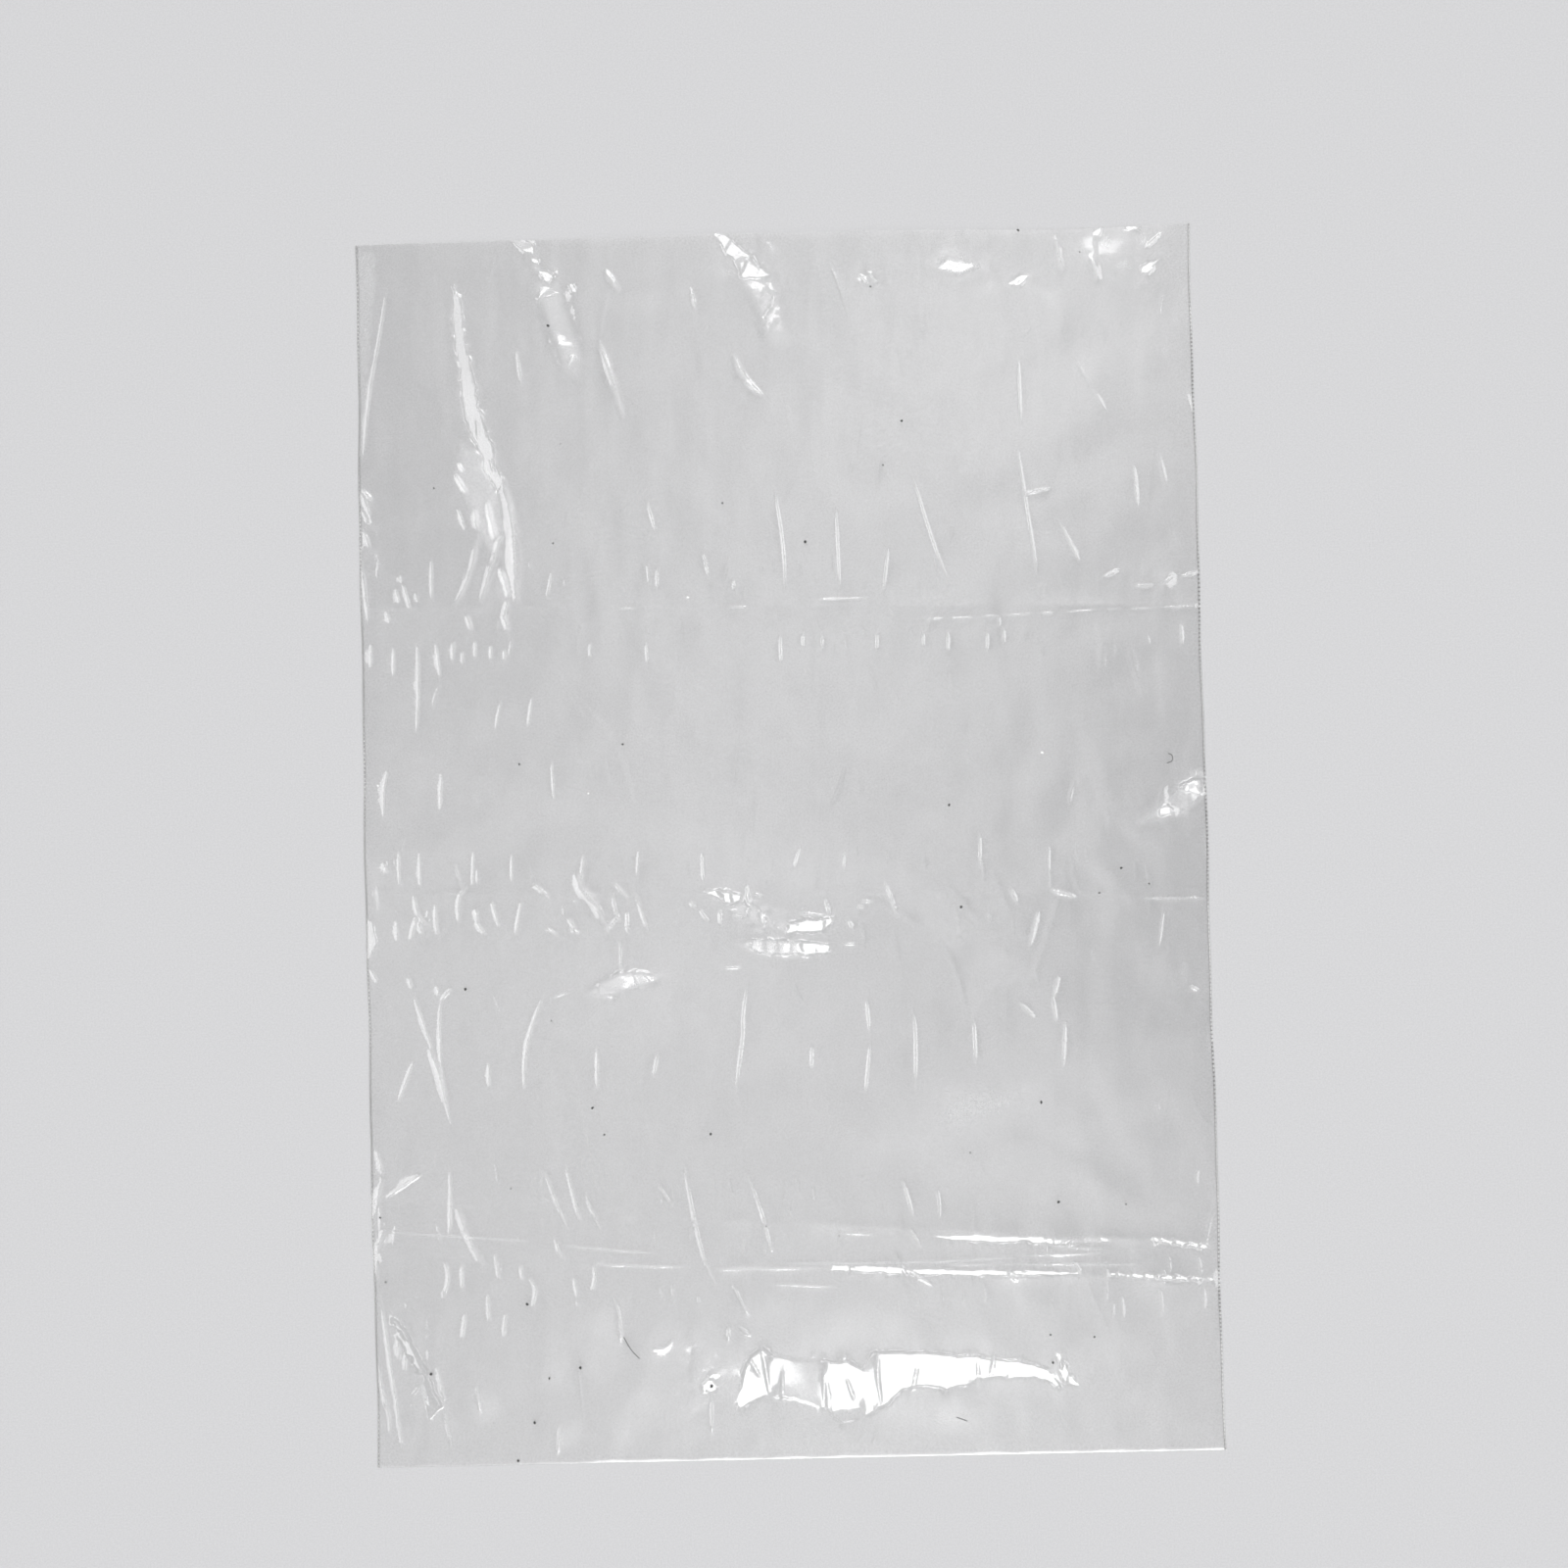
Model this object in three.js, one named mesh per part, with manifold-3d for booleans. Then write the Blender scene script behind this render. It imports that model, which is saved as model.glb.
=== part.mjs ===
// A flat film bag without handles: one web of clear film, folded across the bottom,
// welded along both sides and open at the mouth, lying as it does after unpacking.
// Millimetres, +Z up, +Y towards the mouth, origin on the ground under the middle.

import * as THREE from 'three';
import { mergeVertices } from 'three/addons/utils/BufferGeometryUtils.js';
import Module from 'manifold-3d';

// Driving sizes of the bag
const bagWidth = 300;
const bagLength = 437;
// The real film is 0.03 thick; this wall stands for it
const filmWall = 0.4;
const weldMargin = 1.2;
const weldBead = 1.0;
const weldStop = 0.4;
const foldMargin = 1.0;
const foldRoll = 0.8;
// Beads and roll lie this far over the ground, which the back ply alone touches
const beadLift = 0.1;

// How far the two plies stand apart
const pocketGap = 5.6;
const mouthGap = 4.8;
const leastGap = 0.4;
const foldRise = 62;
const mouthRun = 90;
const sideFullness = 3;

// The front ply ends a little short of the back one, most of all at the right of the mouth
const mouthStep = 0.5;
const mouthSetback = 1.6;
const mouthSetbackRun = 55;

// Packing creases, each by its drop below the mouth on the centre line and its slope
const creaseHalfWidth = 9;
const upperCrease = { drop: 134.5, slope: -0.021, rise: 1.5 };
const middleCrease = { drop: 237.2, slope: -0.024, rise: 1.2 };
const lowerCrease = { drop: 353.5, slope: -0.07, rise: 1.6 };
const lastCrease = { drop: 369.4, slope: -0.048, rise: -0.6 };

// Rows of faces between the bottom, the creases and the mouth, and columns across
const rowsBelowLast = 10;
const rowsToLower = 2;
const rowsToMiddle = 16;
const rowsToUpper = 15;
const rowsToMouth = 18;
const columns = 39;

// Soft folds of the front ply: place as shares of the half width and half length,
// length, width and rise in millimetres, heading in degrees from the bag's length
const softFolds = [
  { name: 'long fold, top', across: -0.74, along: 0.83, length: 50, width: 9, rise: 1.5, heading: 7 },
  { name: 'long fold, foot', across: -0.65, along: 0.53, length: 66, width: 10, rise: 1.6, heading: 13 },
  { name: 'mouth crumple, left', across: -0.55, along: 0.92, length: 26, width: 9, rise: 0.9, heading: 30 },
  { name: 'mouth crumple, middle', across: -0.07, along: 0.93, length: 34, width: 10, rise: 1.4, heading: 38 },
  { name: 'mouth crumple, right', across: 0.79, along: 0.94, length: 30, width: 10, rise: 1.1, heading: -35 },
  { name: 'stem over the upper crease', across: 0, along: 0.49, length: 44, width: 8, rise: 0.9, heading: 6 },
  { name: 'slant over the upper crease', across: 0.34, along: 0.5, length: 56, width: 8, rise: 1.1, heading: 18 },
  { name: 'long stem at the right', across: 0.58, along: 0.54, length: 66, width: 9, rise: 1.2, heading: 8 },
  { name: 'edge bulge, top', across: -0.93, along: 0.56, length: 40, width: 10, rise: 1.1, heading: 4 },
  { name: 'edge bulge, middle', across: -0.93, along: -0.22, length: 34, width: 10, rise: 1.1, heading: -6 },
  { name: 'edge bulge, low', across: -0.92, along: -0.63, length: 46, width: 10, rise: 1.1, heading: 8 },
  { name: 'right bump', across: 0.9, along: 0.08, length: 24, width: 14, rise: 1.2, heading: 80 },
  { name: 'fold under the upper crease', across: -0.87, along: 0.28, length: 38, width: 8, rise: 0.8, heading: 2 },
  { name: 'slant under the middle crease', across: 0.33, along: -0.18, length: 60, width: 12, rise: 1.2, heading: 36 },
  { name: 'left stem', across: -0.82, along: -0.34, length: 50, width: 8, rise: 1.4, heading: -4 },
  { name: 'second left stem', across: -0.61, along: -0.3, length: 44, width: 8, rise: 0.9, heading: -10 },
  { name: 'middle stem', across: -0.12, along: -0.31, length: 50, width: 8, rise: 1.1, heading: -4 },
  { name: 'short stem', across: 0.19, along: -0.32, length: 40, width: 8, rise: 0.8, heading: 0 },
  { name: 'right stem', across: 0.64, along: -0.28, length: 42, width: 9, rise: 0.9, heading: 4 },
  { name: 'slant over the lower crease', across: -0.54, along: -0.55, length: 34, width: 8, rise: 1.1, heading: 20 },
  { name: 'next slant', across: -0.24, along: -0.58, length: 34, width: 8, rise: 0.9, heading: 16 },
  { name: 'bottom fold, long', across: 0.33, along: -0.88, length: 84, width: 12, rise: 2.0, heading: 92 },
  { name: 'bottom fold, short', across: -0.1, along: -0.87, length: 26, width: 10, rise: 1.6, heading: 8 },
  { name: 'corner strands', across: -0.94, along: -0.83, length: 60, width: 9, rise: 1.1, heading: 6 },
];

// Broad swells of the front ply
const swellHeight = 0.3;
const swellLength = 120;
const swellWidth = 85;
// The relief dies away over this distance before a joined edge
const edgeRun = 14;

const halfWidth = bagWidth / 2;
const halfLength = bagLength / 2;
// The plies end inside the beads and the roll that join them
const plyHalfWidth = halfWidth - weldBead / 2;
const plyBottom = -halfLength + foldRoll / 2;
const creases = [lastCrease, lowerCrease, middleCrease, upperCrease];
// Share of the wall that is pressed into the back ply where the two are joined
const pressedShare = 0.5;

const { smoothstep, lerp, degToRad } = THREE.MathUtils;

function creaseHeight(crease, x) {
  return halfLength - crease.drop + crease.slope * x;
}

// Lines across the bag, from the bottom up, with the number of rows that lead to each
const stations = [
  { rows: 0, at: () => plyBottom },
  { rows: 1, at: () => plyBottom + foldMargin },
  { rows: rowsBelowLast, at: (x) => creaseHeight(lastCrease, x) },
  { rows: rowsToLower, at: (x) => creaseHeight(lowerCrease, x) },
  { rows: rowsToMiddle, at: (x) => creaseHeight(middleCrease, x) },
  { rows: rowsToUpper, at: (x) => creaseHeight(upperCrease, x) },
  { rows: rowsToMouth, at: (x) => mouthEdge(x) },
];
const rowCount = stations.reduce((sum, station) => sum + station.rows, 0);

function mouthEdge(x) {
  const deepest = halfWidth - mouthSetbackRun;
  const setback = mouthSetback * smoothstep(x, 0, deepest) * (1 - smoothstep(x, deepest, halfWidth));
  return halfLength - mouthStep - setback;
}

// Columns are even, but for the two narrow ones that hold the side welds
function columnPlace(column) {
  if (column === 0) return -plyHalfWidth;
  if (column === columns) return plyHalfWidth;
  const inner = plyHalfWidth - weldMargin;
  return lerp(-inner, inner, (column - 1) / (columns - 2));
}

function rowPlace(row, x) {
  let left = row;
  for (let i = 1; i < stations.length; i += 1) {
    if (left <= stations[i].rows) {
      return lerp(stations[i - 1].at(x), stations[i].at(x), left / stations[i].rows);
    }
    left -= stations[i].rows;
  }
  return mouthEdge(x);
}

// One at the middle of the bag, and nothing along the welds and the bottom fold
function fullness(x, y) {
  const across = Math.min(Math.abs(x) / (plyHalfWidth - weldMargin), 1);
  const aboveFold = y - plyBottom - foldMargin;
  return (1 - across ** sideFullness) * smoothstep(aboveFold, 0, foldRise);
}

function plyGap(x, y) {
  const fromMouth = smoothstep(halfLength - y, 0, mouthRun);
  return lerp(mouthGap, pocketGap, fromMouth) * fullness(x, y);
}

// A straight crease is a low tent along its line
function creaseRelief(x, y) {
  let relief = 0;
  for (const crease of creases) {
    const away = Math.abs(y - creaseHeight(crease, x)) / creaseHalfWidth;
    relief += crease.rise * Math.max(0, 1 - away);
  }
  return relief;
}

// A soft fold is a ridge that fades along its length and across its width
function foldRelief(x, y) {
  let relief = 0;
  for (const fold of softFolds) {
    const turn = degToRad(fold.heading);
    const dx = x - fold.across * halfWidth;
    const dy = y - fold.along * halfLength;
    const lengthwise = (dx * Math.sin(turn) - dy * Math.cos(turn)) / (fold.length / 2);
    const sideways = (dx * Math.cos(turn) + dy * Math.sin(turn)) / (fold.width / 2);
    relief += fold.rise * Math.exp(-(lengthwise ** 4) - sideways ** 2);
  }
  return relief;
}

function swell(x, y) {
  const along = Math.sin((2 * Math.PI * y) / swellLength + x / swellWidth);
  const across = Math.cos((2 * Math.PI * x) / swellWidth - y / swellLength);
  return swellHeight * along * across;
}

// Joined, the front ply is pressed into the back one; free, it stands over it, and its
// relief fades out over the last few millimetres before a joined edge
function frontPlyUnderside(x, y, joined) {
  if (joined) return filmWall * (1 - pressedShare);
  const fade = smoothstep(plyHalfWidth - Math.abs(x), 0, edgeRun) * smoothstep(y - plyBottom, 0, edgeRun);
  const relief = creaseRelief(x, y) + foldRelief(x, y) + swell(x, y);
  return filmWall + leastGap + Math.max(0, plyGap(x, y) + relief * fade);
}

// The front ply: a sheet of even wall that follows the height of its underside
function frontPly() {
  const sheet = new THREE.BoxGeometry(columns, rowCount, 1, columns, rowCount, 1);
  const place = sheet.attributes.position;
  for (let i = 0; i < place.count; i += 1) {
    const column = Math.round(place.getX(i) + columns / 2);
    const row = Math.round(place.getY(i) + rowCount / 2);
    const joined = column <= 1 || column >= columns - 1 || row <= 1;
    const x = columnPlace(column);
    const y = rowPlace(row, x);
    const lift = place.getZ(i) > 0 ? filmWall : 0;
    place.setXYZ(i, x, y, frontPlyUnderside(x, y, joined) + lift);
  }
  return sheet;
}

function backPly() {
  const length = halfLength - plyBottom;
  return new THREE.BoxGeometry(2 * plyHalfWidth, length, filmWall)
    .translate(0, plyBottom + length / 2, filmWall / 2);
}

// A thin round bead along each side, where the hot knife cut and joined the plies
function weldBeadAt(side) {
  const radius = weldBead / 2;
  const length = halfLength - weldStop - plyBottom;
  return new THREE.CylinderGeometry(radius, radius, length, 8, 1)
    .translate(side * plyHalfWidth, plyBottom + length / 2, radius + beadLift);
}

// The rounded turn of the film at the bottom fold
function bottomFold() {
  const radius = foldRoll / 2;
  return new THREE.CylinderGeometry(radius, radius, 2 * plyHalfWidth, 8, 1)
    .rotateZ(Math.PI / 2)
    .translate(0, plyBottom, radius + beadLift);
}

const wasm = await Module();
wasm.setup();

function toSolid(geometry) {
  const bare = geometry.clone();
  bare.deleteAttribute('normal');
  bare.deleteAttribute('uv');
  const merged = mergeVertices(bare);
  return new wasm.Manifold(new wasm.Mesh({
    numProp: 3,
    vertProperties: new Float32Array(merged.attributes.position.array),
    triVerts: new Uint32Array(merged.index.array),
  }));
}

function toGeometry(solid) {
  const mesh = solid.getMesh();
  const geometry = new THREE.BufferGeometry();
  geometry.setAttribute('position', new THREE.BufferAttribute(mesh.vertProperties, 3));
  geometry.setIndex(new THREE.BufferAttribute(mesh.triVerts, 1));
  geometry.computeVertexNormals();
  return geometry;
}

function filmBag() {
  const joined = [frontPly(), weldBeadAt(-1), weldBeadAt(1), bottomFold()]
    .map(toSolid)
    .reduce((bag, piece) => bag.add(piece), toSolid(backPly()));
  const clearFilm = new THREE.MeshStandardMaterial({
    color: 0xdfe2e4,
    roughness: 0.18,
    metalness: 0,
    transparent: true,
    opacity: 0.4,
    side: THREE.DoubleSide,
  });
  const bag = new THREE.Mesh(toGeometry(joined), clearFilm);
  bag.name = 'film_bag';
  return bag;
}

const object = new THREE.Group();
object.add(filmBag());

export default object;
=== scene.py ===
"""A flat film bag without handles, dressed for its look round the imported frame.

The bag is one web of clear film: folded across the bottom, welded along both sides and
open at the mouth. It lies as it does after unpacking, with packing creases across it
and many small wrinkles. Heights and places are in millimetres until a mesh is made.
"""

import math
from collections import namedtuple

import bmesh
import bpy
import numpy as np
from mathutils import Matrix, Vector
from mathutils.geometry import delaunay_2d_cdt


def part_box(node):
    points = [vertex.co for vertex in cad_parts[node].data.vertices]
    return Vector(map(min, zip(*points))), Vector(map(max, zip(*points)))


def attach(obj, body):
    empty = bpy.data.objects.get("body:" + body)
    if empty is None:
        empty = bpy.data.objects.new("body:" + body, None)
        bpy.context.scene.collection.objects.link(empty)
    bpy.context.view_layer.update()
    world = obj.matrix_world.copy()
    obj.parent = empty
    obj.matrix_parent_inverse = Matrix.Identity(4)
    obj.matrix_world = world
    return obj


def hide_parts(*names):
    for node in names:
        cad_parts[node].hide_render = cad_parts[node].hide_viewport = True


bl_info = {
    "name": "Flat film bag",
    "version": (1, 0, 0),
    "blender": (4, 5, 0),
    "location": "View3D > Sidebar > Film bag",
    "description": "Makes a flat bag of crumpled clear film and the stage it lies on",
    "category": "Add Mesh",
}

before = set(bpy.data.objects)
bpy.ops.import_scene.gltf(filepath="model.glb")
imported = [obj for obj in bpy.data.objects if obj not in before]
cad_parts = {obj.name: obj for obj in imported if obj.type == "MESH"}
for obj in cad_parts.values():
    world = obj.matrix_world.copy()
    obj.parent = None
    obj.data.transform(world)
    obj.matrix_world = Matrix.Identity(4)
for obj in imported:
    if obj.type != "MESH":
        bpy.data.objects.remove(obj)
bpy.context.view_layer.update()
NODE = "film_bag"
NODE_LOW, NODE_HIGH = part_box(NODE)
BODY = "root"

MM = 0.001
WIDTH = (NODE_HIGH[0] - NODE_LOW[0]) / MM
LENGTH = (NODE_HIGH[1] - NODE_LOW[1]) / MM
HALF_WIDTH = WIDTH / 2
HALF_LENGTH = LENGTH / 2

# How far the plies stand apart in the middle and at the mouth, which is less than in the
# solid, over which stretches that changes, and how full the pocket is towards the sides
POCKET_GAP = 3.0
MOUTH_GAP = 2.6
FOLD_RISE = 66.0
MOUTH_RUN = 90.0
SIDE_FULLNESS = 3

# Seeds of the random draws, and the range of a chance phase
SEEDS = {"front": 7, "back": 19, "front wrinkles": 5, "back wrinkles": 23, "dust": 31, "welds": 11}
PHASES = (0, 6)

# The plies' own heights where they are joined, and the turn of the film at the bottom
BACK_HEIGHT = 0.12
JOINED_HEIGHT = 0.5
TURN_STEPS = 6
TURN_RADIUS = (JOINED_HEIGHT - BACK_HEIGHT) / 2
TURN_START = TURN_RADIUS - HALF_LENGTH

# Packing creases: drop below the mouth on the centre line, slope, rise, reach of the rise
UPPER = {"drop": 134.5, "slope": -0.021, "rise": 0.22, "reach": 2.2}
MIDDLE = {"drop": 237.2, "slope": -0.024, "rise": 0.16, "reach": 2.4}
LOWER = {"drop": 353.5, "slope": -0.07, "rise": 0.36, "reach": 2.2}
LAST = {"drop": 369.4, "slope": -0.048, "rise": 0.34, "reach": 2.0}
CREASES = (LAST, LOWER, MIDDLE, UPPER)

# Distances between the film's points: over most of it, in crumpled parts, on its rim, along
# a narrow wrinkle, along a patch's edge and along a crease
COARSE_STEP = (2.2, 2.6)
FINE_STEP = (0.75, 0.85)
RIM_STEP = 1.0
ALONG_STEP = 1.25
NARROW_FLANK = 1.5
EDGE_STEP = 0.8
CREASE_STEP = 1.4

# Rows of points across a wrinkle and a patch's edge, in shares of a flank's width and of the
# edge's softness, and across a crease in millimetres
WRINKLE_ROWS = (-1.1, -0.7, -0.35, 0.0, 0.35, 0.7, 1.1)
EDGE_ROWS = (-2.1, -1.4, -0.7, 0.0, 0.7, 1.4, 2.1)
CREASE_ROWS = (-3.0, -1.5, -0.6, 0.0, 0.6, 1.5, 3.0)

# How far rows and lattices keep from the rim, the cells that hold one point of a row and
# that keep the fine and the coarse lattice off the rows, how far the fine one reaches round
# a patch's edge, at most round its outline, and over a crumpled part, where a lattice starts
# in its own steps, and the distance at which points merge
ROWS_FROM_RIM = 0.5
LATTICE_FROM_RIM = 0.7
ROW_CELL = 0.28
FINE_CELL = 0.35
COARSE_CELL = 0.6
FINE_ROUND_EDGE = 1.0
FINE_WINDOW = 3.0
FINE_OVER_CRUMPLE = 1.2
LATTICE_START = 0.6
MERGED = 1e-4

# The camera, fitted to the bag's corners in the photograph
LENS = 50.0
SENSOR = 36.0
CAMERA_AWAY = 777.9
CAMERA_AIM = (-0.28, 20.46, 0.0)
CAMERA_LEAN_BACK = math.radians(1.740)
CAMERA_LEAN_RIGHT = math.radians(0.641)
CAMERA_ROLL = math.radians(1.385)

# Soft boxes: way from the zenith (towards +X, towards +Y) and size (along X, along Y),
# in degrees, and share of the lamps' brightness
SOFT_BOXES = {
    "left box": (-35, 0, 19, 46, 0.50),
    "right box": (35, 0, 19, 46, 0.50),
    "front box": (5, -36, 24, 15, 0.88),
    "back box": (6, 32, 20, 12, 0.82),
}
BOX_AWAY = 3.0

# The room's light and dark patches: way from the zenith in degrees, brightness added at
# the middle of the patch, and how tight it is
ROOM_PATCHES = {
    "ceiling": (0, 0, 0.62, 22),
    "left glow": (-35, 0, 1.2, 36),
    "right glow": (35, 0, 1.0, 36),
    "front glow": (5, -35, 2.8, 22),
    "back glow": (6, 32, 2.0, 18),
    "dark, upper left": (-16, 13, -0.35, 90),
    "left fill": (-14, -4, 0.25, 60),
    "dark, right": (17, 0, -0.8, 120),
}

# The room's unevenness: size of its clouds, least share of the brightness and what they
# add, and the even brightness that the camera sees behind everything
ROOM_CLOUD_SCALE = 8.0
ROOM_LEAST = 0.27
ROOM_CLOUDS = 1.46
ROOM_SEEN = 0.68

# The bag's corners in the photograph's 1600-pixel frame, from the top left, clockwise
PHOTO_CORNERS = ((362, 248), (1212, 228), (1252, 1482), (387, 1497))


def photo_to_bag():
    """The plane projection that takes the four corners in the photograph to the bag's.

    Eight numbers solve the eight equations x (g u + h v + 1) = a u + b v + c and
    y (g u + h v + 1) = d u + e v + f, one pair for each corner.
    """
    corners = (
        (-HALF_WIDTH, HALF_LENGTH),
        (HALF_WIDTH, HALF_LENGTH),
        (HALF_WIDTH, -HALF_LENGTH),
        (-HALF_WIDTH, -HALF_LENGTH),
    )
    rows, right = [], []
    for (u, v), (x, y) in zip(PHOTO_CORNERS, corners):
        rows += [[u, v, 1, 0, 0, 0, -x * u, -x * v], [0, 0, 0, u, v, 1, -y * u, -y * v]]
        right += [x, y]
    return np.append(np.linalg.solve(np.array(rows, float), np.array(right)), 1.0).reshape(3, 3)


PROJECTION = photo_to_bag()


def on_bag(points):
    """Places on the bag, in millimetres, of points given in the photograph's frame."""
    flat = np.asarray(points, float).reshape(-1, 2)
    made = np.column_stack([flat, np.ones(len(flat))]) @ PROJECTION.T
    return made[:, :2] / made[:, 2:]


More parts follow.
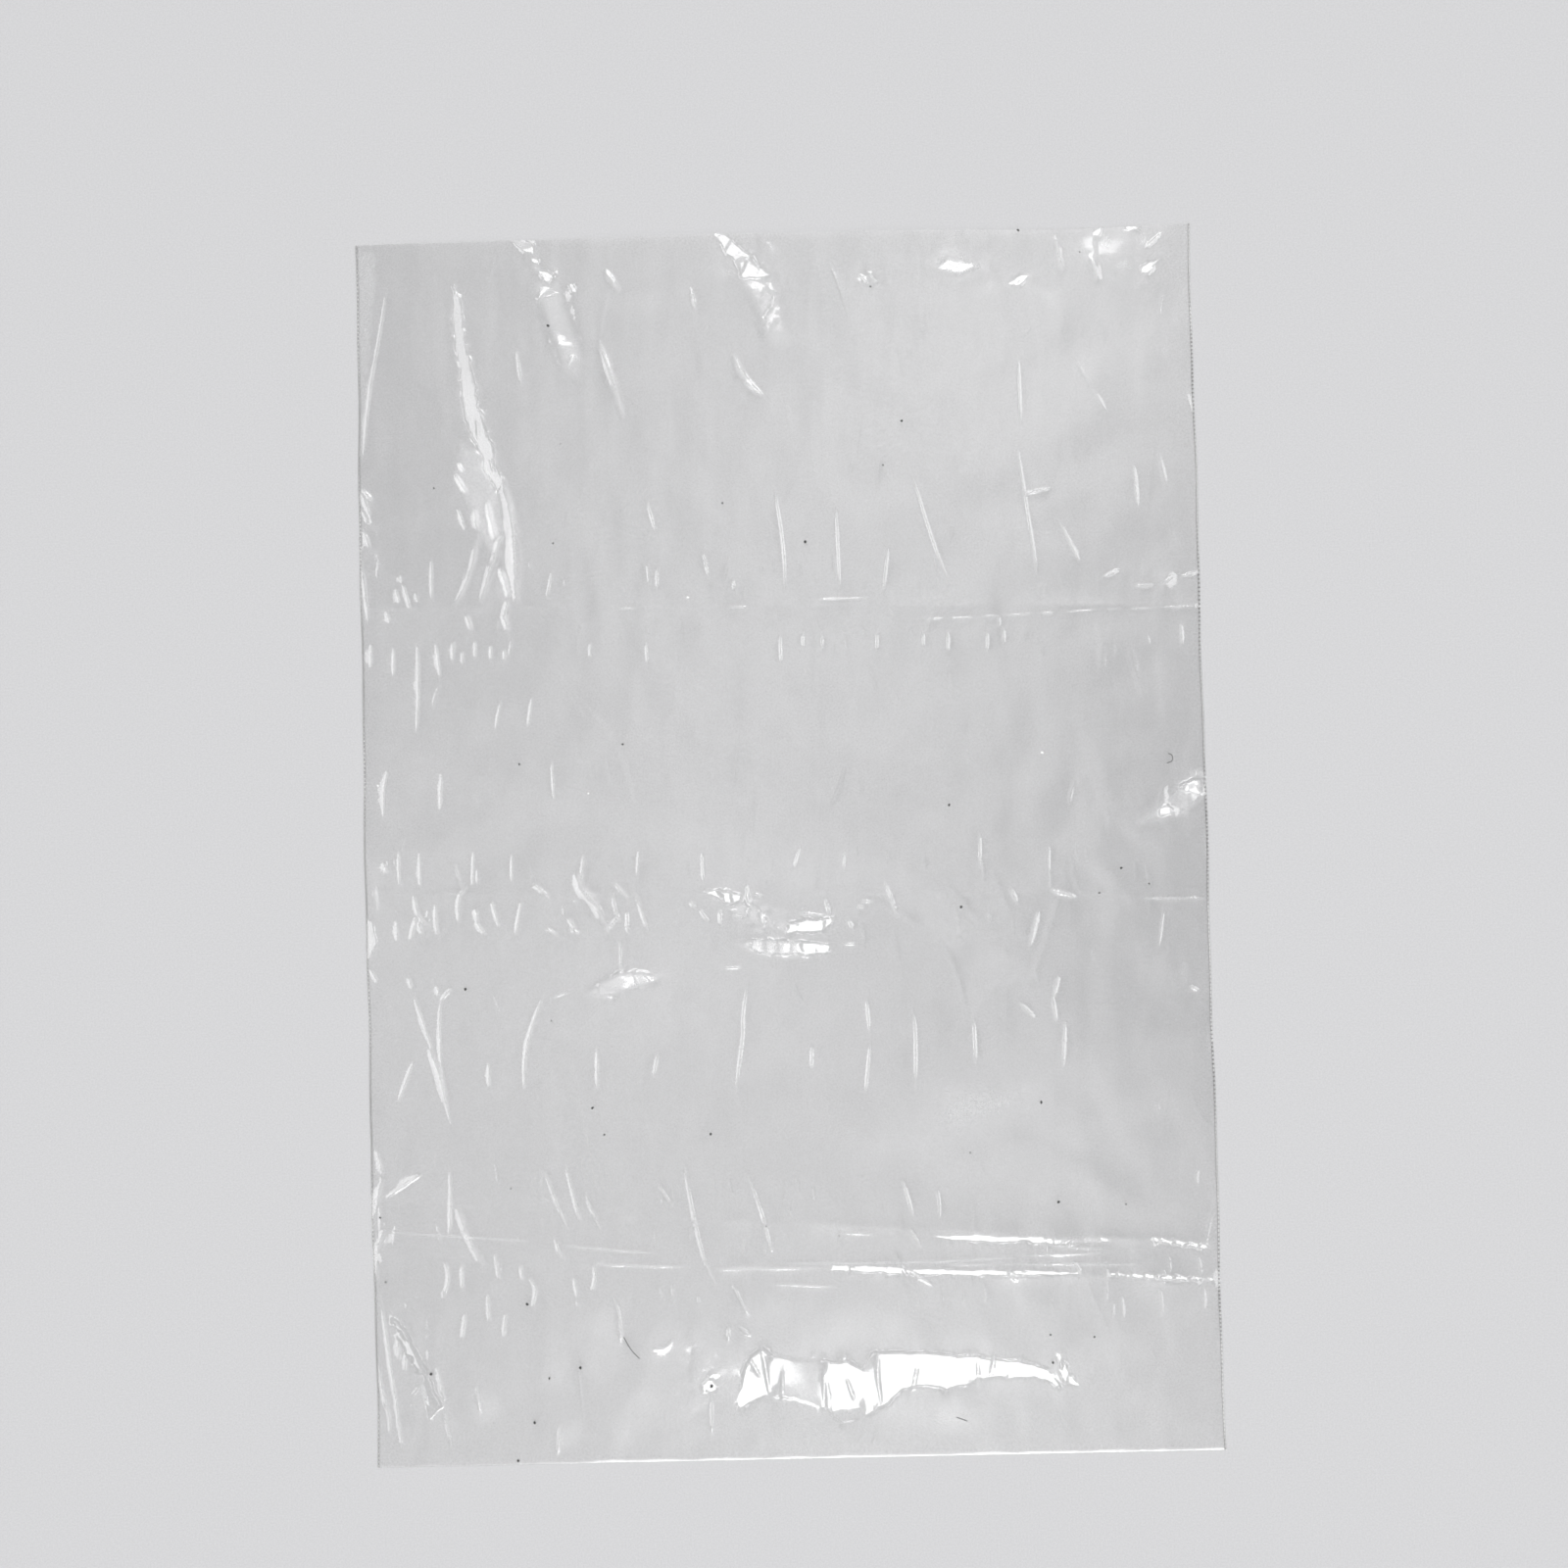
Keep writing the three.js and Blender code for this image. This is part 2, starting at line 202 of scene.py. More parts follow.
# Wrinkles that the photograph shows, by the part of the bag that they lie in: width of a
# flank in millimetres, steepness (1 mirrors a soft box to the camera) and their courses
# in the photograph's frame
WRINKLES = {
    "left fold, main rib": (3.0, 1.0, [
        [(514, 492), (520, 512), (525, 545), (527, 580), (528, 612)],
    ]),
    "left fold, ribs": (1.8, 1.0, [
        [(499, 514), (502, 530), (506, 546)],
        [(515, 542), (509, 556), (505, 572), (499, 588), (492, 614)],
        [(512, 580), (517, 594), (520, 606)], [(519, 616), (515, 630)], [(516, 630), (519, 640)],
    ]),
    "left fold, branches": (1.6, 0.75, [
        [(488, 548), (487, 558), (483, 578), (474, 602), (465, 616)], [(466, 484), (476, 500)],
        [(486, 522), (488, 538)], [(478, 628), (482, 640)],
    ]),
    "left fold, threads": (0.9, 1.1, [
        [(469, 520), (475, 538)], [(469, 472), (473, 479)], [(501, 468), (505, 482)],
    ]),
    "soft fold below the upper crease": (2.6, 0.34, [
        [(563, 678), (589, 713), (616, 742), (633, 769), (642, 801), (651, 833)],
    ]),
    "soft fold below the middle crease": (2.8, 0.34, [
        [(595, 900), (612, 925), (626, 958), (632, 985)],
    ]),
    "soft folds beside the cone": (2.4, 0.3, [
        [(880, 912), (918, 932), (956, 958), (974, 985), (985, 1030)],
        [(960, 895), (994, 937), (1013, 953)], [(1013, 895), (1022, 915), (1030, 935)],
        [(1078, 922), (1066, 960), (1055, 992)],
    ]),
    "soft folds at the right": (2.2, 0.3, [
        [(1106, 753), (1110, 788), (1133, 834), (1130, 864)],
        [(1108, 872), (1124, 888), (1146, 910), (1165, 922)],
        [(1096, 878), (1093, 892), (1100, 908)], [(1150, 655), (1158, 690), (1170, 720)],
        [(1118, 640), (1124, 662), (1121, 690)],
    ]),
    "swells at the right": (10.0, 0.1, [
        [(1108, 747), (1128, 800), (1150, 850), (1187, 860)],
        [(1047, 1167), (1100, 1190), (1159, 1231)], [(1100, 870), (1130, 885), (1155, 915)],
    ]),
    "above the upper crease": (0.95, 1.15, [
        [(442, 572), (442, 609)], [(414, 597), (420, 619)], [(406, 601), (409, 612)],
        [(397, 624), (399, 632)], [(564, 584), (559, 609)], [(661, 514), (669, 542)],
        [(671, 581), (671, 600)], [(718, 566), (723, 588)], [(749, 593), (749, 602)],
        [(790, 499), (801, 566), (800, 604)], [(852, 516), (856, 601)],
        [(929, 484), (951, 557), (967, 594)], [(905, 559), (900, 607)], [(1037, 366), (1040, 436)],
        [(1036, 455), (1044, 506), (1057, 588)], [(1044, 506), (1069, 500)],
        [(1082, 538), (1099, 573)], [(1155, 477), (1159, 516)], [(1127, 589), (1139, 583)],
        [(1159, 599), (1175, 599)], [(1186, 597), (1195, 589)], [(1206, 589), (1219, 585)],
        [(705, 297), (709, 318)], [(528, 358), (532, 391)],
    ]),
    "soft streaks below the mouth": (2.0, 0.74, [
        [(612, 350), (622, 380), (630, 402), (635, 424)], [(749, 366), (760, 390), (776, 404)],
        [(619, 278), (630, 294)], [(1075, 240), (1078, 256), (1082, 274)],
        [(1112, 262), (1118, 282)],
    ]),
    "strands below the mouth": (0.9, 1.1, [
        [(585, 364), (580, 374)], [(571, 352), (584, 352)], [(760, 393), (774, 402)],
        [(1168, 251), (1182, 238)], [(878, 282), (884, 290)], [(886, 280), (893, 288)],
    ]),
    "below the upper crease": (0.9, 1.15, [
        [(380, 657), (380, 678)], [(403, 660), (403, 687)], [(427, 654), (429, 700), (427, 748)],
        [(446, 656), (450, 688)], [(463, 656), (463, 672)], [(473, 665), (473, 675)],
        [(486, 654), (486, 669)], [(502, 659), (502, 671)], [(516, 663), (516, 672)],
        [(603, 657), (603, 669)], [(660, 656), (661, 676)], [(796, 649), (797, 677)],
        [(819, 648), (819, 660)], [(838, 648), (838, 663)], [(894, 648), (894, 663)],
        [(941, 647), (941, 660)], [(966, 647), (966, 664)], [(1006, 647), (1006, 665)],
        [(1023, 644), (1023, 657)], [(1205, 639), (1206, 658)], [(512, 716), (507, 742)],
        [(544, 712), (540, 740)], [(397, 786), (393, 804), (394, 830)], [(452, 788), (451, 825)],
        [(564, 778), (567, 816)],
    ]),
    "above the middle crease": (0.9, 1.15, [
        [(410, 867), (410, 902)], [(431, 869), (431, 902)], [(468, 880), (468, 894)],
        [(485, 868), (484, 902)], [(524, 870), (524, 899)], [(597, 870), (594, 898)],
        [(653, 868), (651, 892)], [(717, 869), (718, 899)], [(816, 865), (811, 884)],
        [(861, 870), (861, 886)], [(999, 852), (999, 886)], [(395, 880), (398, 889)],
    ]),
    "below the middle crease": (1.2, 1.1, [
        [(425, 913), (428, 933), (440, 944)], [(427, 935), (422, 956)], [(430, 940), (433, 950)],
        [(447, 922), (446, 935), (449, 951)], [(407, 940), (408, 956)],
        [(478, 904), (469, 914), (470, 939)], [(488, 928), (489, 936)], [(489, 941), (496, 951)],
        [(504, 920), (511, 944)], [(534, 920), (528, 951)], [(548, 903), (562, 914)],
        [(560, 947), (569, 953)], [(582, 937), (588, 946)], [(585, 948), (592, 951)],
        [(627, 912), (628, 925), (634, 938)], [(629, 901), (643, 917)],
        [(650, 913), (656, 930), (663, 951)], [(641, 930), (642, 951)], [(622, 948), (631, 935)],
        [(634, 959), (635, 990)], [(763, 903), (764, 919)], [(777, 931), (779, 942)],
        [(716, 929), (723, 939)], [(736, 928), (736, 941)], [(842, 918), (846, 932)],
        [(903, 901), (915, 934)], [(1031, 909), (1036, 920)], [(1074, 910), (1095, 915)],
        [(1058, 932), (1050, 965)], [(706, 921), (710, 925)], [(866, 940), (869, 946)],
    ]),
    "below the middle crease, soft": (3.0, 0.8, [
        [(590, 892), (594, 908), (607, 918), (614, 930), (621, 944)],
    ]),
    "short lines across, middle": (0.9, 1.0, [
        [(770, 911), (778, 914)], [(815, 931), (845, 934)], [(862, 963), (872, 963)],
        [(874, 926), (881, 925)], [(879, 919), (889, 920)], [(740, 987), (757, 986)],
        [(751, 934), (758, 935)], [(566, 1016), (580, 1011)],
    ]),
    "long stems": (1.1, 1.15, [
        [(425, 1016), (438, 1056), (444, 1071)],
        [(453, 1018), (450, 1033), (451, 1079), (457, 1123), (463, 1147)],
        [(453, 1018), (462, 1008)], [(557, 1012), (547, 1038), (537, 1070), (537, 1112)],
        [(424, 1082), (409, 1123)], [(501, 1085), (501, 1106)], [(611, 1068), (611, 1109)],
        [(673, 1074), (668, 1097)], [(764, 1000), (758, 1038), (760, 1053), (751, 1115)],
        [(829, 1068), (829, 1089)], [(884, 1020), (887, 1052)], [(888, 1063), (883, 1116)],
        [(931, 1030), (934, 1050), (934, 1108)], [(993, 1039), (995, 1084)],
        [(1079, 998), (1074, 1017)], [(1073, 1018), (1077, 1041)], [(1086, 1043), (1084, 1089)],
        [(1041, 1025), (1055, 1038)], [(1216, 1008), (1222, 1011)], [(420, 998), (422, 1006)],
        [(448, 1006), (450, 1014)],
    ]),
    "above the lower crease": (1.1, 1.1, [
        [(432, 1197), (399, 1220)], [(461, 1192), (463, 1215), (461, 1262)],
        [(558, 1195), (568, 1222), (582, 1253)], [(579, 1188), (594, 1245)],
        [(600, 1218), (606, 1235), (615, 1253)], [(568, 1262), (576, 1282)],
        [(674, 1209), (686, 1226)], [(699, 1186), (710, 1242), (721, 1289), (733, 1311)],
        [(764, 1198), (780, 1239), (789, 1277)], [(457, 1287), (461, 1302), (456, 1318)],
        [(474, 1289), (474, 1312)], [(508, 1278), (511, 1302)], [(534, 1290), (535, 1303)],
        [(543, 1303), (550, 1312), (546, 1330)], [(500, 1320), (501, 1345)],
        [(608, 1290), (610, 1305), (606, 1314)], [(588, 1303), (591, 1320)],
        [(929, 1254), (938, 1269)], [(921, 1205), (932, 1240)],
    ]),
    "thick stems": (2.0, 1.05, [
        [(470, 1233), (478, 1255), (493, 1287)], [(393, 1203), (384, 1235), (381, 1262)],
        [(441, 1071), (450, 1090), (457, 1123)],
    ]),
    "at the bottom": (1.2, 1.1, [
        [(628, 1322), (635, 1340), (635, 1368)], [(749, 1309), (764, 1338)],
        [(670, 1375), (680, 1376), (686, 1368)],
        [(390, 1325), (397, 1365), (401, 1400), (407, 1440), (413, 1482)],
        [(388, 1382), (391, 1420), (399, 1442), (399, 1463)], [(448, 1395), (455, 1428)],
        [(455, 1440), (463, 1478)], [(488, 1415), (491, 1437)], [(573, 1453), (571, 1482)],
        [(432, 1412), (437, 1432)], [(408, 1368), (410, 1385)], [(416, 1382), (415, 1395)],
        [(745, 1353), (745, 1365)], [(757, 1353), (765, 1359)], [(728, 1425), (728, 1460)],
        [(477, 1340), (474, 1362)], [(518, 1340), (516, 1362)], [(929, 1296), (950, 1309)],
        [(1030, 1298), (1036, 1305)], [(1096, 1289), (1102, 1298)],
    ]),
    "left edge": (1.3, 1.1, [
        [(370, 500), (376, 514), (380, 528)], [(372, 498), (381, 508)], [(372, 520), (376, 528)],
        [(366, 534), (373, 540), (379, 556)],
        [(368, 546), (370, 570), (374, 592), (376, 612), (378, 632)], [(369, 600), (370, 632)],
        [(381, 988), (387, 998)], [(387, 1173), (393, 1194)],
        [(394, 1256), (384, 1282), (388, 1304)], [(381, 1300), (383, 1344), (386, 1480)],
        [(372, 880), (372, 930)],
    ]),
    "left edge, long line": (1.0, 0.6, [[(394, 292), (388, 340), (376, 400), (372, 470)]]),
    "across the bottom highlight": (1.2, 0.9, [
        [(897, 1378), (895, 1400), (900, 1434)], [(842, 1398), (843, 1438)],
        [(1014, 1385), (1011, 1405)], [(936, 1396), (933, 1416)],
        [(779, 1376), (784, 1400), (786, 1420)], [(767, 1386), (776, 1402)],
        [(800, 1400), (800, 1428)], [(865, 1408), (872, 1428)], [(998, 1390), (999, 1412)],
    ]),
    "upper crease, right end": (0.5, 1.0, [
        [(945, 633), (962, 632)], [(970, 632), (992, 631)], [(1003, 630), (1016, 630)],
        [(1026, 629), (1052, 628)], [(1061, 627), (1074, 627)], [(1086, 626), (1118, 624)],
        [(1128, 624), (1140, 623)], [(1152, 623), (1176, 622)], [(1186, 621), (1222, 620)],
    ]),
    "thin lines across": (0.6, 1.0, [
        [(787, 1288), (860, 1288), (960, 1287), (1040, 1282)], [(1040, 1281), (1130, 1279)],
        [(960, 1290), (1012, 1290)], [(1018, 1289), (1170, 1291)], [(787, 1309), (856, 1312)],
        [(730, 1294), (850, 1292)], [(860, 1257), (897, 1259)], [(833, 613), (888, 611)],
        [(742, 620), (762, 620)], [(633, 621), (648, 621)], [(1160, 918), (1232, 918)],
        [(387, 1255), (545, 1265)], [(572, 1269), (674, 1278)], [(608, 1289), (704, 1291)],
        [(1075, 1272), (1128, 1275)],
    ]),
}

# Patches of film that mirror a soft box: which box, share of the tilt towards it, width
# of the soft edge in millimetres, and outline in the photograph's frame
PATCHES = {
    "bottom": ("front box", 1.0, 0.5, [
        (754, 1438), (757, 1420), (761, 1398), (768, 1384), (778, 1377), (790, 1383), (820, 1389),
        (843, 1388), (866, 1390), (882, 1398), (892, 1380), (920, 1380), (945, 1380), (985, 1385),
        (1015, 1386), (1055, 1393), (1070, 1400), (1082, 1418), (1070, 1410), (1056, 1405),
        (1012, 1405), (1000, 1407), (985, 1414), (970, 1417), (940, 1413), (922, 1418), (912, 1426),
        (902, 1437), (885, 1444), (862, 1451), (846, 1438), (830, 1432), (812, 1427), (796, 1424),
        (780, 1424), (768, 1430),
    ]),
    "bottom, right tip": ("front box", 1.0, 0.4, [
        (1079, 1382), (1087, 1392), (1092, 1404), (1101, 1414), (1088, 1412), (1083, 1400),
    ]),
    "bottom, spot": ("front box", 1.0, 0.4, [(719, 1412), (731, 1401), (731, 1418), (720, 1421)]),
    "lower crease, bar": ("front box", 1.0, 0.4, [
        (955, 1261), (1030, 1262), (1072, 1263), (1072, 1268), (1030, 1267), (985, 1266),
    ]),
    "lower crease, paler": ("front box", 0.66, 0.5, [
        (1076, 1264), (1130, 1265), (1130, 1268), (1076, 1270),
    ]),
    "lower crease, end": ("front box", 1.0, 0.3, [
        (1178, 1265), (1232, 1272), (1230, 1275), (1180, 1269),
    ]),
    "last crease, bar": ("front box", 1.0, 0.3, [
        (850, 1290), (905, 1291), (932, 1295), (1060, 1297), (1100, 1299), (1100, 1302),
        (1060, 1301), (930, 1300), (880, 1296), (850, 1295),
    ]),
    "last crease, second": ("front box", 1.0, 0.3, [
        (1132, 1299), (1177, 1303), (1177, 1306), (1132, 1302),
    ]),
    "last crease, end": ("front box", 1.0, 0.3, [
        (1182, 1303), (1238, 1307), (1238, 1309), (1182, 1306),
    ]),
    "middle, first": ("front box", 1.0, 0.4, [
        (720, 911), (727, 908), (736, 909), (755, 914), (757, 919), (742, 921), (731, 915),
    ]),
    "middle, first, trail": ("front box", 0.55, 2.0, [
        (742, 923), (760, 920), (772, 930), (802, 940), (800, 951), (770, 938),
    ]),
    "middle, second": ("front box", 1.0, 0.4, [
        (802, 953), (806, 943), (830, 939), (843, 936), (851, 937), (849, 941), (838, 950),
        (812, 950),
    ]),
    "middle, third": ("front box", 1.0, 0.4, [
        (760, 963), (766, 959), (800, 961), (846, 963), (846, 971), (830, 973), (775, 971),
    ]),
    "soft patch": ("front box", 0.88, 0.8, [
        (604, 1012), (616, 1002), (632, 994), (646, 991), (672, 996), (668, 1001), (648, 1005),
        (626, 1015),
    ]),
    "right bump": ("front box", 1.0, 0.4, [
        (1202, 805), (1214, 799), (1227, 797), (1224, 811), (1209, 809),
    ]),
    "right bump, bits": ("front box", 1.0, 0.4, [
        (1182, 828), (1190, 825), (1198, 828), (1194, 832), (1184, 832),
    ]),
    "left edge": ("left box", 1.0, 0.4, [
        (377, 936), (382, 940), (385, 950), (386, 961), (381, 973), (376, 980),
    ]),
    "corner strand": ("left box", 1.0, 0.4, [
        (403, 1345), (415, 1355), (424, 1379), (437, 1400), (430, 1398), (418, 1381), (409, 1363),
    ]),
    "corner patch": ("left box", 1.0, 0.5, [
        (437, 1400), (442, 1415), (449, 1432), (440, 1444), (436, 1425), (434, 1410),
    ]),
    "left fold": ("left box", 0.82, 0.4, [
        (463, 292), (470, 312), (472, 340), (478, 370), (484, 393), (488, 417), (495, 440),
        (503, 457), (505, 473), (514, 492), (508, 500), (495, 477), (492, 462), (485, 450),
        (478, 433), (473, 407), (470, 380), (465, 347), (463, 327),
    ]),
    "mouth, left": ("back box", 1.0, 0.3, [
        (553, 291), (561, 291), (569, 299), (557, 300), (550, 303),
    ]),
    "mouth, left, upper": ("back box", 1.0, 0.3, [
        (551, 277), (559, 275), (564, 281), (561, 290), (554, 286),
    ]),
    "mouth, left, edge": ("back box", 0.95, 0.4, [
        (520, 243), (532, 242), (543, 248), (544, 258), (532, 254),
    ]),
    "mouth, left, bit": ("back box", 1.0, 0.3, [(543, 263), (548, 263), (549, 267), (544, 267)]),
    "mouth, left, side": ("back box", 1.0, 0.3, [(581, 290), (585, 289), (588, 297), (583, 298)]),
    "mouth, left, trail": ("back box", 0.55, 2.4, [
        (558, 302), (572, 303), (578, 330), (586, 355), (588, 364), (578, 366), (568, 340),
        (561, 320),
    ]),
    "mouth, middle": ("back box", 1.0, 0.4, [
        (729, 240), (739, 240), (757, 257), (766, 263), (772, 273), (784, 281), (768, 285),
        (757, 285), (754, 271), (742, 260),
    ]),
    "mouth, middle, trail": ("back box", 0.55, 2.4, [
        (765, 290), (784, 288), (789, 310), (793, 336), (784, 338), (776, 310),
    ]),
    "mouth, bright": ("back box", 0.74, 0.8, [
        (958, 272), (966, 264), (984, 268), (994, 270), (984, 275), (970, 279),
    ]),
    "mouth, next": ("back box", 1.0, 0.5, [
        (1027, 288), (1034, 284), (1040, 279), (1047, 279), (1039, 290),
    ]),
    "mouth, far": ("back box", 0.9, 0.3, [(1115, 232), (1121, 231), (1119, 236), (1115, 236)]),
    "mouth, far, rim": ("back box", 0.9, 0.3, [(1146, 230), (1160, 230), (1160, 232), (1147, 232)]),
    "mouth, right": ("back box", 0.88, 0.4, [
        (1162, 271), (1168, 268), (1181, 264), (1175, 271), (1168, 279), (1163, 277),
    ]),
}

# Painted highlights and painted reflections: parts of the film made paler in its milky
# share where it catches the lamps and the room, with the width of the soft edge in
# millimetres, strength, and outline in the photograph's frame
PAINTED_HIGHLIGHTS = {
    "cone": (1.5, 0.42, [
        (880, 880), (903, 876), (926, 891), (956, 910), (983, 941), (1009, 967), (1047, 983),
        (1056, 997), (1009, 1009), (994, 1032), (984, 1010), (975, 979), (956, 952), (918, 926),
        (890, 905),
    ]),
    "mouth, bright": (2.2, 0.95, [
        (948, 268), (962, 256), (972, 258), (984, 266), (1004, 262), (1002, 274), (975, 282),
    ]),
    "mouth, bright, over": (1.5, 0.5, [
        (960, 256), (970, 248), (980, 258), (990, 246), (999, 240), (988, 262), (972, 264),
    ]),
    "soft patch": (1.5, 0.7, [
        (604, 1014), (620, 1000), (640, 993), (676, 994), (664, 1002), (640, 1010), (620, 1016),
    ]),
    "middle, third": (1.0, 0.9, [(756, 964), (768, 959), (815, 960), (815, 975), (780, 974)]),
    "middle, trail": (2.5, 0.6, [(742, 925), (766, 922), (800, 936), (800, 950), (770, 940)]),
    "mouth, next": (1.6, 0.7, [(1024, 288), (1034, 280), (1048, 278), (1044, 292), (1030, 294)]),
    "mouth, next, bits": (1.0, 0.4, [
        (1044, 296), (1056, 290), (1070, 300), (1062, 306), (1052, 300),
    ]),
    "mouth, corner": (3.0, 0.45, [
        (1112, 232), (1150, 232), (1158, 262), (1150, 290), (1126, 280), (1114, 260),
    ]),
    "mouth, corner, bits": (0.6, 0.7, [
        (1138, 270), (1146, 264), (1152, 272), (1147, 269), (1142, 274),
    ]),
    "mouth, corner, upper bits": (0.6, 0.6, [
        (1118, 240), (1124, 236), (1134, 244), (1128, 250), (1122, 246),
    ]),
    "right bump": (1.4, 1.3, [
        (1160, 840), (1190, 818), (1208, 800), (1228, 796), (1226, 812), (1204, 830), (1180, 836),
    ]),
    "pale cloud": (6.0, 0.6, [
        (890, 1150), (960, 1120), (1000, 1108), (1050, 1117), (1010, 1138), (950, 1165),
        (900, 1172),
    ]),
    "over the middle crease": (6.0, 0.45, [
        (700, 840), (800, 850), (880, 870), (860, 900), (760, 905), (690, 880),
    ]),
    "below the bars": (7.0, 0.3, [
        (640, 985), (760, 985), (880, 1000), (900, 1080), (760, 1090), (650, 1040),
    ]),
    "below the mouth": (8.0, 0.35, [(880, 300), (1180, 300), (1180, 400), (1000, 440), (880, 380)]),
    "strip at the left edge": (0.4, 0.9, [
        (364, 252), (383, 252), (379, 330), (373, 400), (370, 462), (367, 462),
    ]),
    "mouth, left, trail": (1.6, 0.8, [
        (548, 292), (566, 288), (576, 320), (588, 352), (590, 385), (580, 380), (568, 345),
        (558, 320),
    ]),
    "mouth, middle, trail": (2.0, 0.6, [
        (764, 284), (786, 284), (794, 320), (800, 352), (788, 352), (774, 320),
    ]),
    "left fold, veil": (1.5, 1.5, [
        (474, 452), (494, 470), (508, 510), (512, 540), (502, 560), (488, 530), (468, 490),
    ]),
    "left fold, foot": (1.2, 0.7, [(508, 584), (518, 582), (522, 604), (515, 616), (508, 604)]),
    "above the lower crease": (8.0, 0.4, [
        (960, 1080), (1180, 1090), (1200, 1180), (1060, 1210), (960, 1160),
    ]),
}

# How the share of a patch's tilt changes from left to right, at places across the
# photograph, where the patch is streaked
STREAKS = {
    "bottom": (
        (754, 1.0), (784, 1.0), (792, 0.1), (836, 0.1), (846, 0.9), (876, 0.9), (884, 0.4),
        (890, 0.4), (898, 1.0),
    ),
    "mouth, bright": (
        (958, 0.9), (963, 1.1), (968, 0.85), (975, 1.1), (981, 0.85), (987, 1.05), (994, 0.8),
    ),
    "middle, third": (
        (760, 0.9), (766, 0.74), (775, 0.84), (780, 0.72), (788, 0.82), (794, 0.72), (803, 0.82),
        (812, 0.7), (820, 1.0),
    ),
    "soft patch": (
        (604, 0.72), (614, 0.86), (620, 0.72), (627, 0.86), (635, 0.74), (643, 0.86), (652, 0.76),
        (662, 0.82),
    ),
}

# Crumpled patches: where, reach across and along the bag in millimetres, and usual slope
CRUMPLES = {
    "mouth, left": ((550, 272), 7.0, 14.0, 0.08),
    "mouth, left, trail": ((573, 335), 5.0, 14.0, 0.05),
    "mouth, middle": ((765, 266), 9.0, 11.0, 0.06),
    "mouth, right of middle": ((975, 262), 16.0, 10.0, 0.06),
    "mouth, wisps": ((886, 285), 7.0, 5.0, 0.12),
    "mouth, right": ((1138, 250), 12.0, 12.0, 0.010),
    "mouth, corner": ((1172, 268), 7.0, 14.0, 0.026),
    "left, below the middle crease": ((433, 942), 7.0, 8.0, 0.06),
    "second, below the middle crease": ((636, 945), 9.0, 14.0, 0.05),
    "middle, below the middle crease": ((775, 935), 24.0, 9.0, 0.045),
    "soft patch": ((624, 1006), 8.0, 5.0, 0.06),
    "right bump": ((1205, 815), 9.0, 6.0, 0.12),
    "left edge, top": ((374, 545), 4.0, 18.0, 0.10),
    "left edge, middle": ((378, 955), 4.0, 14.0, 0.08),
    "left edge, low": ((386, 1240), 4.0, 20.0, 0.10),
    "bottom, left of the highlight": ((715, 1410), 7.0, 12.0, 0.07),
    "bottom highlight": ((868, 1415), 8.0, 8.0, 0.05),
    "corner strands": ((424, 1400), 12.0, 24.0, 0.06),
    "right, over the upper crease": ((1185, 592), 14.0, 4.0, 0.08),
    "left fold": ((503, 560), 8.0, 18.0, 0.06),
    "last creases, right end": ((1010, 1290), 60.0, 5.0, 0.03),
}

Wrinkle = namedtuple("Wrinkle", "course flank steepness whitening")

# Kinds of wrinkles that are strewn by chance. Ticks are counted for each crease. The length
# is a least one with the mean of what is added, and for pleats the least and the greatest.
# Lean and bow are spreads, flanks and steepness are ranges
Kind = namedtuple("Kind", "count length lean bow flanks steepness whitening")
TICKS = Kind(
    count=26, length=(3, 3), lean=0.12, bow=0.3,
    flanks=(0.7, 1.0), steepness=(0.4, 1.1), whitening=0.4,
)
LOOSE = Kind(
    count=70, length=(4, 7), lean=0.3, bow=0.5,
    flanks=(0.8, 1.3), steepness=(0.2, 0.7), whitening=0.2,
)
PLEATS = Kind(
    count=46, length=(30, 130), lean=0.06, bow=2.5,
    flanks=(1.8, 4.5), steepness=(0.03, 0.12), whitening=0.0,
)

# Where they start: ticks off the welds and off their crease, pleats in shares of the half
# width and half length, and every second pleat above the mouth
TICKS_FROM_WELD = 3.0
TICKS_FROM_CREASE = (1.0, 13.0)
PLEATS_ACROSS = (-0.95, 0.95)
PLEATS_ALONG = (-0.7, 0.9)
PLEATS_ABOVE_MOUTH = 4.0

# A wrinkle's tent, in shares of its flank's width: how far it is reckoned, its width at the
# ends, the rounding of its crest, its foot, its whitened line, which is partly the film's
# stress whitening and partly a painted highlight, and how much a named one is lengthened at
# each end. Then how quickly its ends rise, how much steeper one flank is than the other,
# and the steepness from which a named one gets that whitened line
TENT_REACH = 2.5
END_WIDTH = 0.3
CREST_ROUNDING = 0.18
FOOT = 0.12
WHITE_WIDTH = 0.6
LENGTHENED = 0.9
END_RISE = 3
STEEP_SIDE = 1.9
WHITENED_AND_HIGHLIGHTED_FROM = 0.5

# A flank that falls to the side by more than this share mirrors a side box: the left one up
# to so far right of the middle. Others mirror the back box from so far up the bag. No flank
# falls more steeply than the last value
MIRRORS_SIDE_FROM = 0.55
LEFT_BOX_UP_TO = 12.0
BACK_BOX_FROM = 130.0
STEEPEST_FALL = 0.5

# A patch: its edge's wobble, the size of the wobble's faces, the width of its level facets
# and their wobble, where a facet's even part ends, how much it flattens what it lies on,
# how much of the pocket it may use, and the stations of its line of middles
WOBBLE = 0.25
WOBBLE_SIZE = 4.0
FACET_WIDTH = 4.5
FACET_WOBBLE = 0.5
FACET_EVEN_TO = 0.8
FLATTENED = 0.9
POCKET_USED = 0.9
STATIONS = 40
SMOOTHED_OVER = 9

